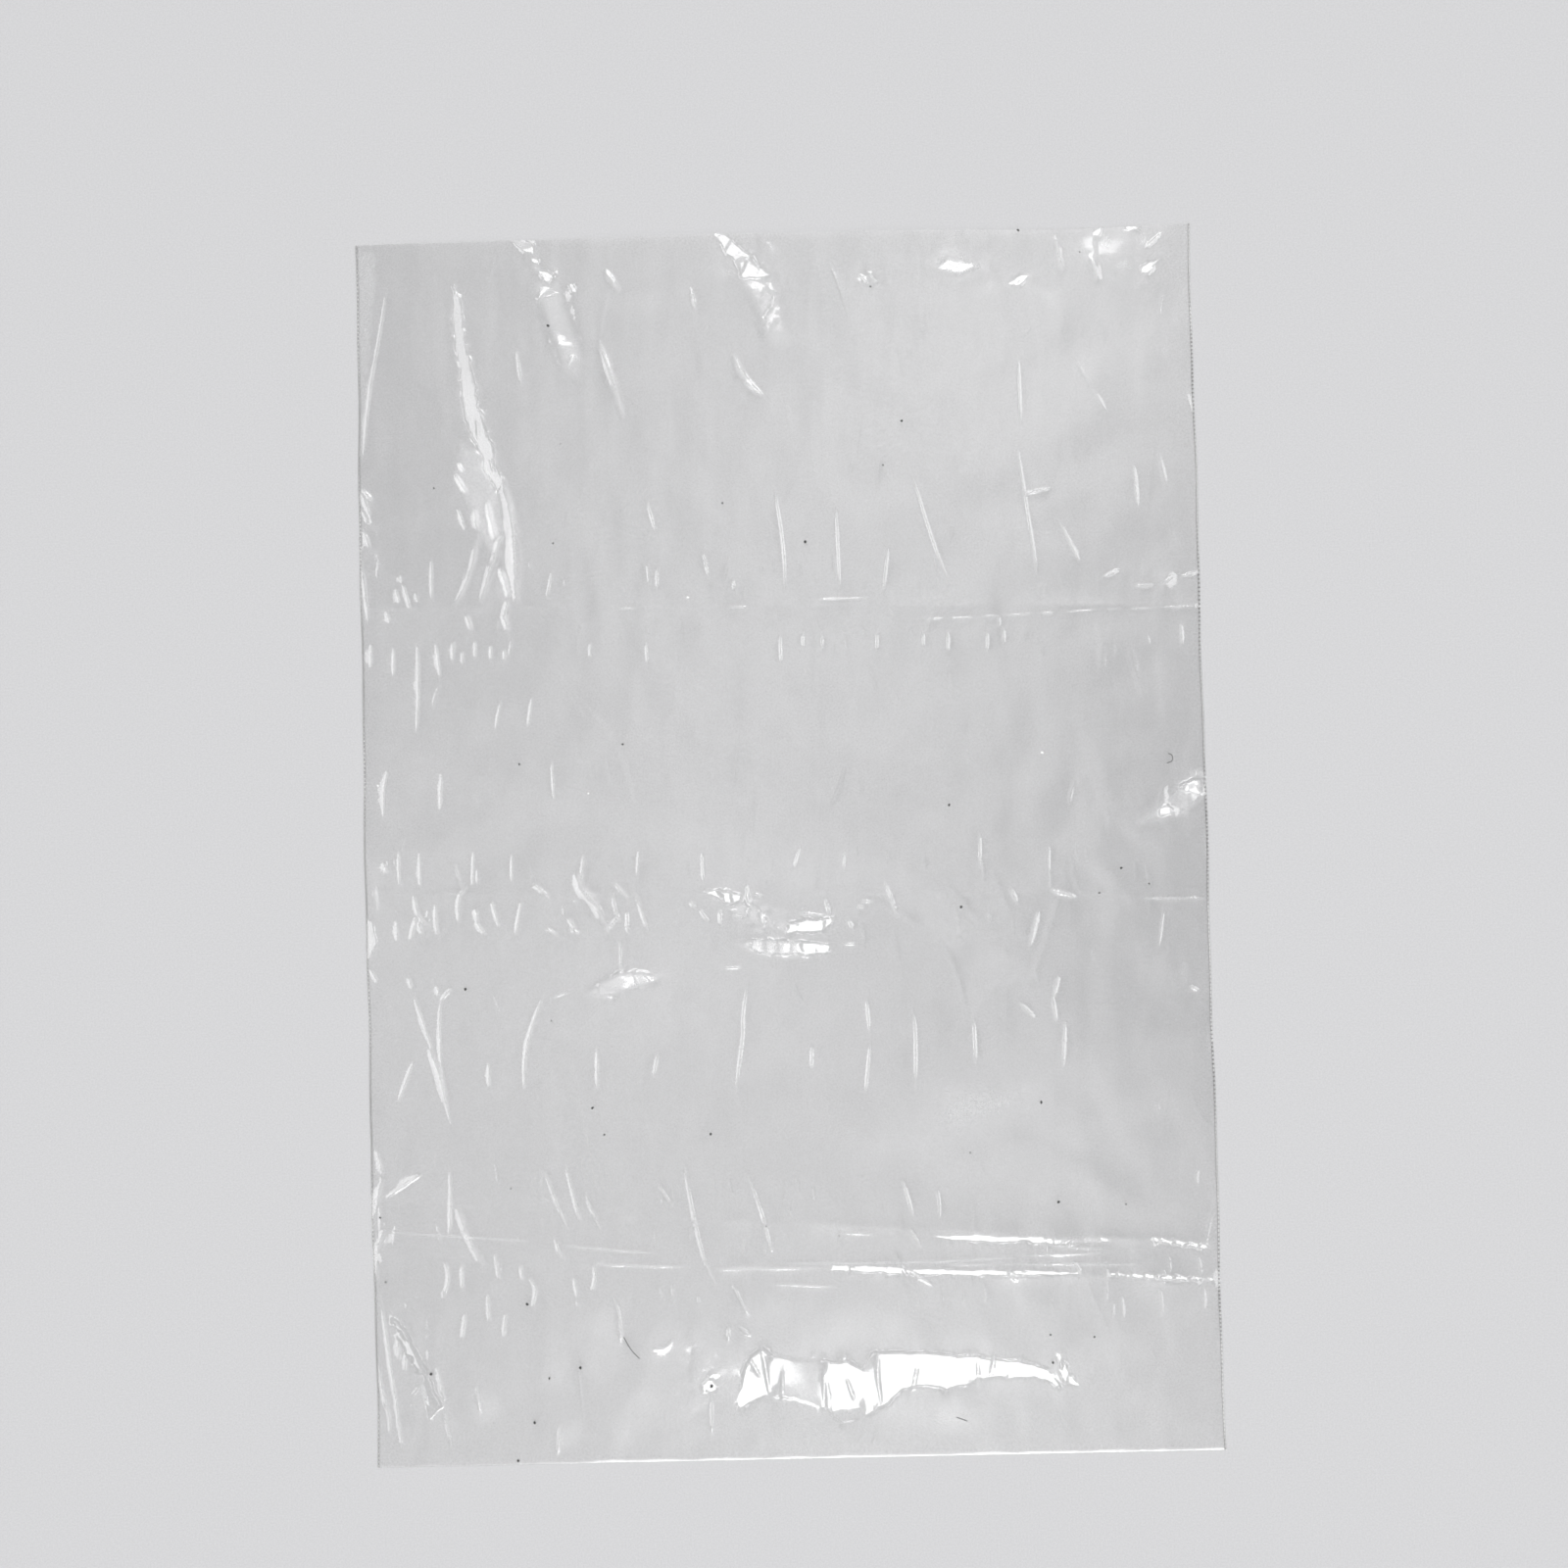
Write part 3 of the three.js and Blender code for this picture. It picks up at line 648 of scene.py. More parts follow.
# A crease's relief: lengths of its two waves, roundness of its top, and its whitened line,
# which is partly the film's stress whitening and partly a painted highlight, with a strength
# and a width. The line is dashed: length of a dash, how far and how slowly the dashes
# stray, and where a dash starts and is whole
CREASE_WAVES = (17.0, 5.3)
CREASE_ROUNDING = 0.5
CREASE_WHITENING_AND_HIGHLIGHT = 0.5
CREASE_WHITE_WIDTH = 0.5
DASH_LENGTH = 2.3
DASH_STRAYS = (3.0, 11.0)
DASH_FROM_TO = (-0.2, 0.6)

# Crinkle all over a ply: its slope and size, and for each of its two layers a share of the
# slope, how far it is stretched along the bag and how much finer it is
CRINKLE_SLOPE = 0.022
CRINKLE_SIZE = 13.0
CRINKLES = ((1.0, 2.5, 1.0), (0.5, 1.5, 2.7))

# Crumpled parts: size of the faces, how far they are stretched, share of the finer faces,
# and how far the scattered points behind all faces keep from their cells' sides
CRUMPLE_SIZE = 5.5
CRUMPLE_STRETCH = 1.4
FINER_CRUMPLE = 0.5
CELL_MARGIN = 0.12

# Slack of the front ply, wide and narrow: height, number of waves, the longest and the
# shortest wave, and how far in from the edges it is whole
SLACKS = ((0.16, 9, 110.0, 40.0, 30.0), (0.11, 12, 42.0, 16.0, 12.0))

# Relief fades at the edges over so many millimetres, the front ply keeps off the back by a
# least gap, and the back ply has a share of the front's relief and of its whitening, which
# is partly the film's stress whitening and partly a painted highlight
FRONT_FADE = 3.0
BACK_FADE = 4.0
LEAST_GAP = 0.15
BACK_RELIEF = 0.9
BACK_WHITENING_AND_HIGHLIGHT = 0.6

# The bag's outline: height, length and phase of its side waves, bow of the left side, and
# how closely both keep to the sides
SIDE_WAVES = ((0.22, 19.0, 1.3), (0.12, 7.1, 2.0))
LEFT_BOW = -0.8
SIDE_POWER = 5

# How the mouth's edges hang down: a sag, its place and reach, a wave and its length, and
# the rest, over the last stretch of the bag
FRONT_MOUTH = {"sag": 1.5, "at": 95.0, "reach": 38.0, "wave": 0.25, "length": 15.0, "rest": 0.3}
BACK_MOUTH = {"sag": 0.7, "at": 110.0, "reach": 50.0, "wave": 0.1, "length": 11.0, "rest": 0.0}
MOUTH_STRETCH = 60.0


def smoothstep(value, low, high):
    """Zero under low, one over high, and 3 t^2 - 2 t^3 of the share t between."""
    share = np.clip((value - low) / (high - low), 0, 1)
    return share * share * (3 - 2 * share)


def crease_line(crease, x):
    """Height up the bag of a straight crease: its drop below the mouth plus its slope."""
    return HALF_LENGTH - crease["drop"] + crease["slope"] * x


def pocket(x, y):
    """Gap between the plies: nothing along the welds and the fold, fullest in the middle.

    It is the full gap times 1 - |x|^3 across, times a smooth rise from the fold, and it
    eases to the smaller mouth gap near the mouth.
    """
    across = np.clip(np.abs(x) / HALF_WIDTH, 0, 1)
    full = (1 - across**SIDE_FULLNESS) * smoothstep(y, -HALF_LENGTH, -HALF_LENGTH + FOLD_RISE)
    from_mouth = smoothstep(HALF_LENGTH - y, 0, MOUTH_RUN)
    return full * (MOUTH_GAP + (POCKET_GAP - MOUTH_GAP) * from_mouth)


def pocket_tilt(place):
    """How steeply the pocket's top falls along X and along Y, from nearby heights."""
    step = 0.5
    x, y = place
    along_x = pocket(x - step, y) - pocket(x + step, y)
    along_y = pocket(x, y - step) - pocket(x, y + step)
    return np.array([along_x, along_y]) / (2 * step)


def way_to(east, north):
    """The direction that leans from the zenith by two angles in degrees."""
    way = np.array([math.tan(math.radians(east)), math.tan(math.radians(north)), 1.0])
    return way / np.linalg.norm(way)


def camera_place():
    """The camera's place in millimetres: its aim, and its distance along its own back."""
    east, north = math.sin(CAMERA_LEAN_RIGHT), -math.sin(CAMERA_LEAN_BACK)
    back = np.array([east, north, math.sqrt(1 - east**2 - north**2)])
    return np.array(CAMERA_AIM) + back * CAMERA_AWAY


def mirror_tilt(place, name):
    """How steeply the film falls along X and along Y where it mirrors a soft box.

    Its normal then lies half way between the ways to the camera and to the box.
    """
    point = np.array([*place, 0.0])
    box = way_to(*SOFT_BOXES[name][:2]) * BOX_AWAY / MM
    ways = [to - point for to in (camera_place(), box)]
    half = sum(way / np.linalg.norm(way) for way in ways)
    return half[:2] / half[2]


def mirroring(place, across):
    """The fall, and its way, of a wrinkle's flank that mirrors a soft box.

    A flank can only fall along the level way across its own length, so only the box's
    own axis is matched: the side boxes' for steep wrinkles, the others' for flat ones.
    """
    if abs(across[0]) > MIRRORS_SIDE_FROM:
        axis, name = 0, "left box" if place[0] < LEFT_BOX_UP_TO else "right box"
    else:
        axis, name = 1, "back box" if place[1] > BACK_BOX_FROM else "front box"
    fall = mirror_tilt(place, name)[axis] / across[axis]
    return min(abs(fall), STEEPEST_FALL), across * np.sign(fall)


def rounded(course):
    """The course with its corners cut twice, a quarter of a piece in from each side."""
    for _ in range(2):
        cuts = [0.75 * course[:-1] + 0.25 * course[1:], 0.25 * course[:-1] + 0.75 * course[1:]]
        course = np.concatenate([course[:1], np.stack(cuts, axis=1).reshape(-1, 2), course[-1:]])
    return course


def lengthened(course, run):
    """The course with both of its ends pushed outwards, to make up for their taper."""
    ends = course[[0, -1]] - course[[1, -2]]
    longer = course.copy()
    longer[[0, -1]] += run * ends / np.linalg.norm(ends, axis=1)[:, None]
    return longer


def named_wrinkles():
    """The wrinkles that the photograph shows, placed on the bag."""
    return [
        Wrinkle(
            rounded(lengthened(on_bag(course), LENGTHENED * flank)),
            flank,
            steepness,
            1.0 if steepness > WHITENED_AND_HIGHLIGHTED_FROM else 0.0,
        )
        for flank, steepness, courses in WRINKLES.values()
        for course in courses
    ]


def chance_wrinkles(random):
    """Fine wrinkles on the creases, loose ones all over, and long soft pleats."""
    found = []

    def add(kind, x, y, length):
        """Notes a wrinkle's start and its length up or down, and draws its flank's facts."""
        flank = random.uniform(*kind.flanks)
        found.append((kind, x, y, length, flank, random.uniform(*kind.steepness)))

    for crease in CREASES:
        for _ in range(TICKS.count):
            x = random.uniform(TICKS_FROM_WELD - HALF_WIDTH, HALF_WIDTH - TICKS_FROM_WELD)
            side = random.choice((-1, 1))
            y = crease_line(crease, x) + side * random.uniform(*TICKS_FROM_CREASE)
            add(TICKS, x, y, side * (TICKS.length[0] + random.exponential(TICKS.length[1])))
    for _ in range(LOOSE.count):
        x, y = random.uniform(-1, 1) * HALF_WIDTH, random.uniform(-1, 1) * HALF_LENGTH
        add(LOOSE, x, y, LOOSE.length[0] + random.exponential(LOOSE.length[1]))
    for pleat in range(PLEATS.count):
        y = HALF_LENGTH + PLEATS_ABOVE_MOUTH
        if pleat % 2 == 0:
            y = random.uniform(*PLEATS_ALONG) * HALF_LENGTH
        x = random.uniform(*PLEATS_ACROSS) * HALF_WIDTH
        add(PLEATS, x, y, -random.uniform(*PLEATS.length))
    return [chance_wrinkle(random, *facts) for facts in found]


def chance_wrinkle(random, kind, x, y, length, flank, steepness):
    """A wrinkle up or down the bag from its start, with a chance lean and bow."""
    end_shift = random.normal(0, kind.lean) * abs(length)
    middle = (x + end_shift / 2 + random.normal(0, kind.bow), y + length / 2)
    course = np.array([(x, y), middle, (x + end_shift, y + length)])
    return Wrinkle(rounded(course), flank, steepness, kind.whitening)


def beside(course, offsets, step):
    """Points in rows beside a course, one row at each of the offsets from it."""
    lengths = np.linalg.norm(np.diff(course, axis=0), axis=1)
    ends = np.concatenate([[0], np.cumsum(lengths)])
    at = np.linspace(0, ends[-1], max(int(ends[-1] / step), 2) + 1)
    points = np.column_stack([np.interp(at, ends, course[:, axis]) for axis in (0, 1)])
    piece = np.clip(np.searchsorted(ends, at, side="right") - 1, 0, len(lengths) - 1)
    ways = (np.diff(course, axis=0) / lengths[:, None])[piece]
    across = np.column_stack([ways[:, 1], -ways[:, 0]])
    return np.concatenate([points + offset * across for offset in offsets])


def wrinkle_points(wrinkle):
    """Rows of points over a wrinkle's crest and flanks, so that the mesh follows them."""
    offsets = np.array(WRINKLE_ROWS) * wrinkle.flank
    return beside(wrinkle.course, offsets, ALONG_STEP * max(1.0, wrinkle.flank / NARROW_FLANK))


def edge_points(outline, softness):
    """Rows of points over the soft edge round a patch."""
    course = np.concatenate([outline, outline[:1]])
    return beside(course, np.array(EDGE_ROWS) * softness, EDGE_STEP)


def lattice(step_x, step_y):
    """Points over the bag in even rows, with every second row shifted by half a step."""
    x = np.arange(-HALF_WIDTH + LATTICE_START * step_x, HALF_WIDTH, step_x)
    y = np.arange(TURN_START + LATTICE_START * step_y, HALF_LENGTH, step_y)
    x, y = np.meshgrid(x, y)
    x[1::2] += step_x / 2
    return np.column_stack([x.ravel(), y.ravel()])


def cells(points, size):
    """Column and row of each point in a chart of square cells, with a margin round it."""
    return tuple(((points + (HALF_WIDTH, HALF_LENGTH)) / size).astype(int).T + 2)


def clear_of(points, others, size):
    """The points that have none of the others in their own cell or in the eight round it."""
    taken = np.zeros((int(WIDTH / size) + 6, int(LENGTH / size) + 6), bool)
    taken[cells(others, size)] = True
    for axis in (0, 1):
        taken = taken | np.roll(taken, 1, axis) | np.roll(taken, -1, axis)
    return points[~taken[cells(points, size)]]


def thinned(points, size):
    """The points with at most one kept in each square cell."""
    column, row = cells(points, size)
    kept = np.unique(column * 100000 + row, return_index=True)[1]
    return points[kept]


def within(points, margin):
    """The points that lie inside the bag's rim by the margin."""
    x, y = points.T
    beside_rim = (HALF_WIDTH - np.abs(x), y - TURN_START, HALF_LENGTH - y)
    return points[np.min(beside_rim, axis=0) > margin]


def depth_inside(x, y, outline):
    """Distance of each point to an outline, counted as negative outside it."""
    nearest = np.full(x.shape, np.inf)
    inside = np.zeros(x.shape, bool)
    for start, end in zip(outline, np.roll(outline, -1, axis=0)):
        way = end - start
        along = np.clip(((x - start[0]) * way[0] + (y - start[1]) * way[1]) / (way @ way), 0, 1)
        away = np.hypot(x - start[0] - along * way[0], y - start[1] - along * way[1])
        nearest = np.minimum(nearest, away)
        spans = (start[1] > y) != (end[1] > y)
        rise = way[1] if way[1] else 1.0
        inside ^= spans & (x < start[0] + way[0] * (y - start[1]) / rise)
    return np.where(inside, nearest, -nearest)


def in_crumpled_part(points):
    """Which of the points lie by a patch's edge or in a crumpled part."""
    found = np.zeros(len(points), bool)
    for _, _, softness, outline in PATCHES.values():
        outline = on_bag(outline)
        low, high = outline.min(axis=0) - FINE_WINDOW, outline.max(axis=0) + FINE_WINDOW
        near = np.flatnonzero(((points > low) & (points < high)).all(axis=1))
        depth = depth_inside(*points[near].T, outline)
        found[near[np.abs(depth + softness) < softness + FINE_ROUND_EDGE]] = True
    for place, wide, deep, _ in CRUMPLES.values():
        reach = (FINE_OVER_CRUMPLE * wide, FINE_OVER_CRUMPLE * deep)
        found |= np.linalg.norm((points - on_bag(place)[0]) / reach, axis=1) < 1
    return found


def film_points(wrinkles, fine, turned):
    """Points of the flat film: rows on wrinkles and creases, a lattice between them, rim.

    The lattice is fine in the crumpled parts where that is asked for. The rows of a
    turned ply go on below the start of the turn for the turn's own length.
    """
    ends = np.array([-HALF_WIDTH, HALF_WIDTH])
    rows = [wrinkle_points(wrinkle) for wrinkle in wrinkles]
    for crease in CREASES:
        course = np.column_stack([ends, crease_line(crease, ends)])
        rows.append(beside(course, CREASE_ROWS, CREASE_STEP))
    if fine:
        for _, _, softness, outline in PATCHES.values():
            rows.append(edge_points(on_bag(outline), softness))
    followed = thinned(within(np.concatenate(rows), ROWS_FROM_RIM), ROW_CELL)
    coarse = within(lattice(*COARSE_STEP), LATTICE_FROM_RIM)
    if fine:
        coarse = coarse[~in_crumpled_part(coarse)]
        close = within(lattice(*FINE_STEP), LATTICE_FROM_RIM)
        close = clear_of(close[in_crumpled_part(close)], followed, FINE_CELL)
        followed = np.concatenate([followed, close])
    coarse = clear_of(coarse, followed, COARSE_CELL)
    x = np.linspace(-HALF_WIDTH, HALF_WIDTH, int(WIDTH / RIM_STEP) + 1)
    y = np.linspace(TURN_START, HALF_LENGTH, int(LENGTH / RIM_STEP) + 1)
    rim = [np.column_stack([np.full(len(y) - 2, side * HALF_WIDTH), y[1:-1]]) for side in (-1, 1)]
    rim += [np.column_stack([x, np.full_like(x, row)]) for row in (TURN_START, HALF_LENGTH)]
    for step in range(1, TURN_STEPS + 1 if turned else 1):
        row = TURN_START - math.pi * TURN_RADIUS * step / TURN_STEPS
        rim.append(np.column_stack([x, np.full_like(x, row)]))
    return np.concatenate([followed, coarse, *rim])


def to_course(x, y, course):
    """Offset of each point from a course, to its left or right, and its share of the way."""
    steps = np.linalg.norm(np.diff(course, axis=0), axis=1)
    total = steps.sum()
    best = np.full(x.shape, np.inf)
    offset = np.zeros((2, *x.shape))
    share = np.zeros(x.shape)
    done = 0.0
    for start, end, step in zip(course[:-1], course[1:], steps):
        way = (end - start) / step
        along = np.clip((x - start[0]) * way[0] + (y - start[1]) * way[1], 0, step)
        away = np.stack([x - start[0] - along * way[0], y - start[1] - along * way[1]])
        length = np.hypot(*away)
        closer = length < best
        best[closer] = length[closer]
        offset[:, closer] = away[:, closer]
        share[closer] = ((done + along) / total)[closer]
        done += step
    return offset, share


def between(x, y, low, high):
    """Numbers of the points between two corners. The points come sorted by their y."""
    first, last = np.searchsorted(y, (low[1], high[1]))
    return first + np.flatnonzero((x[first:last] >= low[0]) & (x[first:last] <= high[0]))


def add_wrinkle(ridges, mark, x, y, wrinkle, share):
    """Adds a tent along a wrinkle's course: one flank mirrors a soft box, one is steeper.

    With r the flank's width, d the distance rounded at the crest and s the fall, it is
    s times half the sum of (r - d) and its length with a small foot, so it ends softly.
    Where tents cross, the higher one counts.
    """
    course, flank, steepness, whitening = wrinkle
    margin = TENT_REACH * flank
    part = between(x, y, course.min(axis=0) - margin, course.max(axis=0) + margin)
    along = (course[-1] - course[0]) / np.linalg.norm(course[-1] - course[0])
    fall, down = mirroring(course.mean(axis=0), np.array([along[1], -along[0]]))
    offset, done = to_course(x[part], y[part], course)
    away = np.hypot(*offset)
    steeper = np.where(down @ offset > 0, 1.0, STEEP_SIDE)
    taper = 1 - np.abs(2 * done - 1) ** 3
    width = flank * (END_WIDTH + (1 - END_WIDTH) * taper)
    left = width - np.hypot(away * steeper, CREST_ROUNDING * flank)
    shape = 0.5 * (left + np.hypot(left, FOOT * flank))
    ends = np.clip(END_RISE * taper, 0, 1)
    shape *= smoothstep(margin - away, 0, flank) * ends * fall * steepness * share
    ridges[part] = np.maximum(ridges[part], shape)
    # The whitened line on the crest is partly the film's stress whitening, partly a painted
    # highlight
    mark[part] += whitening * np.exp(-((away / (WHITE_WIDTH * flank)) ** 2)) * taper


def middle_line(outline, down):
    """How far down the middle of an outline lies, at stations from side to side of it."""
    side = np.array([-down[1], down[0]])
    across, fall = outline @ side, outline @ down
    stations = np.linspace(across.min(), across.max(), STATIONS)[1:-1]
    start, end = across[:, None], np.roll(across, -1)[:, None]
    span = np.where(end == start, 1e-9, end - start)
    share = (stations - start) / span
    met = fall[:, None] + share * (np.roll(fall, -1)[:, None] - fall[:, None])
    inside = (share >= 0) & (share <= 1)
    lowest = np.where(inside, met, np.inf).min(axis=0)
    highest = np.where(inside, met, -np.inf).max(axis=0)
    middle = np.pad((lowest + highest) / 2, SMOOTHED_OVER // 2, mode="edge")
    weights = np.full(SMOOTHED_OVER, 1 / SMOOTHED_OVER)
    return side, stations, np.convolve(middle, weights, mode="valid")


def stepped(value, step):
    """The middle of each step of the value, with a short smooth way to the next one."""
    share = value / step
    done = np.floor(share)
    return (done + 0.5 + smoothstep(share - done, FACET_EVEN_TO, 1.0)) * step


def add_patch(height, x, y, name, share, softness, outline, wobble, streaks):
    """Adds a flat patch inside an outline, tilted so that it mirrors a soft box.

    It pivots on the line of middles across the fall, so a long patch stays low, and it
    makes up for the pocket's own slope. It eases back to the film round it over a soft
    edge, which a wobble makes ragged, and flattens what it lies on. It is lifted where its
    low side would meet the back ply. A patch that falls along the bag is made of level
    facets side by side. Streaks are places along X and shares of the tilt.
    """
    margin = 2 * softness + 2
    part = between(x, y, outline.min(axis=0) - margin, outline.max(axis=0) + margin)
    centre = outline.mean(axis=0)
    tilt = share * mirror_tilt(centre, name) - pocket_tilt(centre)
    down = tilt / np.linalg.norm(tilt)
    side, stations, middle = middle_line(outline, down)
    place = np.column_stack([x[part], y[part]])
    across = place @ side
    if abs(down[1]) > abs(down[0]):
        across = stepped(across + FACET_WOBBLE * wobble[part], FACET_WIDTH)
    fall = place @ down - np.interp(across, stations, middle)
    depth = depth_inside(x[part], y[part], outline) + WOBBLE * wobble[part]
    if streaks is not None:
        fall *= np.interp(x[part], *streaks.T)
    inside = smoothstep(depth, -2 * softness, 0)
    drop = fall * np.linalg.norm(tilt)
    lift = max(0.0, (drop * inside).max(initial=0) - POCKET_USED * pocket(*centre))
    height[part] = height[part] * (1 - FLATTENED * inside) + inside * (lift - drop)


def add_painted_highlight(mark, x, y, softness, strength, outline):
    """Paints a highlight softly inside an outline, by whitening the film's milky share."""
    margin = 2 * softness
    part = between(x, y, outline.min(axis=0) - margin, outline.max(axis=0) + margin)
    mark[part] += strength * smoothstep(depth_inside(x[part], y[part], outline), -margin, softness)


def streaks_on_bag(part):
    """A patch's streaks, with their places in the photograph turned to places along X."""
    if part not in STREAKS:
        return None
    row = np.mean(PATCHES[part][3], axis=0)[1]
    places, shares = zip(*STREAKS[part])
    return np.column_stack([on_bag([(place, row) for place in places])[:, 0], shares])


def nearest_squared(x, y, random, spacing):
    """Squared distance to the nearest of many scattered points, one in each square cell."""
    u, v = x / spacing, y / spacing
    column, row = np.floor(u).astype(int), np.floor(v).astype(int)
    first = np.array([column.min(), row.min()]) - 1
    chart = (np.ptp(column) + 3, np.ptp(row) + 3, 2)
    shift = random.uniform(CELL_MARGIN, 1 - CELL_MARGIN, chart)
    best = np.full(x.shape, np.inf)
    for i in (column - 1, column, column + 1):
        for j in (row - 1, row, row + 1):
            there = shift[i - first[0], j - first[1]]
            best = np.minimum(best, (u - i - there[:, 0]) ** 2 + (v - j - there[:, 1]) ** 2)
    return best * spacing**2


def folded(x, y, random, spacing):
    """Crumpled film: flat faces in chance tilts, with a usual slope of one.

    The difference between the squared distances to the nearest points of two scattered
    sets is flat wherever both nearest points stay the same.
    """
    one, other = (nearest_squared(x, y, random, spacing) for _ in range(2))
    return (one - other) / spacing


def soft_noise(x, y, random, waves, longest, shortest):
    """A smooth sum of sine waves in chance ways, mostly between -1 and 1."""
    total = np.zeros_like(x)
    for _ in range(waves):
        turn = random.uniform(0, np.pi)
        length = random.uniform(shortest, longest)
        phase = random.uniform(0, 2 * np.pi)
        total += np.sin(2 * np.pi * (x * np.cos(turn) + y * np.sin(turn)) / length + phase)
    return total / np.sqrt(waves)


def edge_fade(x, y, run):
    """One inside the bag, falling smoothly to nothing at the welds and the bottom fold."""
    sides = smoothstep(HALF_WIDTH - np.abs(x), 0, run)
    return sides * smoothstep(y - TURN_START, 0, run)


def common_relief(x, y, random, wrinkles, share):
    """A ply's creases and crinkle, the height of its wrinkles, and where it is whitened, partly as
    a painted highlight.
    """
    height, ridges, mark = np.zeros_like(x), np.zeros_like(x), np.zeros_like(x)
    for crease in CREASES:
        away = np.abs(y - crease_line(crease, x))
        long_wave, short_wave = (
            np.sin(x / length + random.uniform(*PHASES)) for length in CREASE_WAVES
        )
        wave = 0.5 + 0.5 * long_wave * short_wave
        fall = np.hypot(away, CREASE_ROUNDING) - CREASE_ROUNDING
        height += share * crease["rise"] * wave * np.exp(-fall / crease["reach"])
        # The dashed white line on a crease is partly the film's stress whitening, partly a painted
        # highlight
        stray = DASH_STRAYS[0] * np.sin(x / DASH_STRAYS[1])
        dashes = smoothstep(np.sin(x / DASH_LENGTH + stray), *DASH_FROM_TO)
        mark += CREASE_WHITENING_AND_HIGHLIGHT * wave**2 * dashes * np.exp(-((away / CREASE_WHITE_WIDTH) ** 2))
    for wrinkle in wrinkles:
        add_wrinkle(ridges, mark, x, y, wrinkle, share)
    for part, stretch, finer in CRINKLES:
        crinkle = folded(x, y / stretch, random, CRINKLE_SIZE / finer)
        height += share * part * CRINKLE_SLOPE * crinkle
    return height, ridges, mark


def front_surface(x, y):
    """Height and whitening, with painted highlights, of the front ply over the back: pocket, slack
    and relief.
    """
    random = np.random.default_rng(SEEDS["front"])
    height, ridges, mark = common_relief(x, y, random, FRONT_WRINKLES, 1.0)
    wobble = folded(x, y, random, WOBBLE_SIZE)
    for part in sorted(PATCHES, key=lambda part: -PATCHES[part][2]):
        name, share, softness, outline = PATCHES[part]
        streaks = streaks_on_bag(part)
        add_patch(height, x, y, name, share, softness, on_bag(outline), wobble, streaks)
    height += ridges
    # Painted highlights and painted reflections, added to the whitening as milky white
    for softness, strength, outline in PAINTED_HIGHLIGHTS.values():
        add_painted_highlight(mark, x, y, softness, strength, on_bag(outline))
    crumple = folded(x, y / CRUMPLE_STRETCH, random, CRUMPLE_SIZE)
    crumple += FINER_CRUMPLE * folded(x, y, random, CRUMPLE_SIZE / 2)
    for place, wide, deep, slope in CRUMPLES.values():
        centre = on_bag(place)[0]
        reach = np.exp(-(((x - centre[0]) / wide) ** 2) - ((y - centre[1]) / deep) ** 2)
        height += slope * crumple * reach
    slack = sum(
        rise * soft_noise(x, y, random, waves, longest, shortest) * edge_fade(x, y, fade)
        for rise, waves, longest, shortest, fade in SLACKS
    )
    height = JOINED_HEIGHT + pocket(x, y) + slack + height * edge_fade(x, y, FRONT_FADE)
    return np.maximum(height, back_surface(x, y)[0] + LEAST_GAP), mark


def back_surface(x, y):
    """Height and whitening, partly painted highlight, of the back ply, which lies on the ground but
    for its wrinkles.
    """
    random = np.random.default_rng(SEEDS["back"])
    height, ridges, mark = common_relief(x, y, random, BACK_WRINKLES, BACK_RELIEF)
    relief = np.maximum(height + ridges, 0) * edge_fade(x, y, BACK_FADE)
    return BACK_HEIGHT + relief, mark * BACK_WHITENING_AND_HIGHLIGHT


FRONT_WRINKLES = named_wrinkles() + chance_wrinkles(np.random.default_rng(SEEDS["front wrinkles"]))
BACK_WRINKLES = chance_wrinkles(np.random.default_rng(SEEDS["back wrinkles"]))


def edge_shift(x, y):
    """How far the bag's outline strays to the side: bowed at the left and a little wavy."""
    wave = sum(rise * np.sin(y / length + phase * np.sign(x)) for rise, length, phase in SIDE_WAVES)
    bow = np.where(x < 0, LEFT_BOW * np.cos(np.pi * y / LENGTH), 0.0)
    return (bow + wave) * np.abs(x / HALF_WIDTH) ** SIDE_POWER


def make_mesh(name, points, faces, uv=None, mark=None, tone=None):
    """A smooth mesh object from arrays: points in millimetres and faces of equal corners."""
    mesh = bpy.data.meshes.new(name)
    mesh.vertices.add(len(points))
    mesh.vertices.foreach_set("co", (points * MM).astype(np.float32).ravel())
    mesh.loops.add(faces.size)
    mesh.loops.foreach_set("vertex_index", faces.astype(np.int32).ravel())
    mesh.polygons.add(len(faces))
    starts = np.arange(0, faces.size, faces.shape[1], dtype=np.int32)
    mesh.polygons.foreach_set("loop_start", starts)
    mesh.polygons.foreach_set("use_smooth", np.ones(len(faces), bool))
    mesh.update(calc_edges=True)
    if uv is not None:
        layer = mesh.uv_layers.new(name="UVMap")
        layer.data.foreach_set("uv", uv[faces.ravel()].astype(np.float32).ravel())
    # The whitening, with its painted highlights, goes on the mesh as an attribute
    if mark is not None:
        whitened_and_highlighted = mesh.attributes.new("whitened_and_highlighted", "FLOAT", "POINT")
        whitened_and_highlighted.data.foreach_set("value", mark.astype(np.float32))
    if tone is not None:
        shades = np.column_stack([np.repeat(tone[:, None], 3, axis=1), np.ones(len(points))])
        layer = mesh.attributes.new("tone", "FLOAT_COLOR", "POINT")
        layer.data.foreach_set("color", shades.astype(np.float32).ravel())
    mesh.validate()
    piece = bpy.data.objects.new(name, mesh)
    bpy.context.collection.objects.link(piece)
    return piece


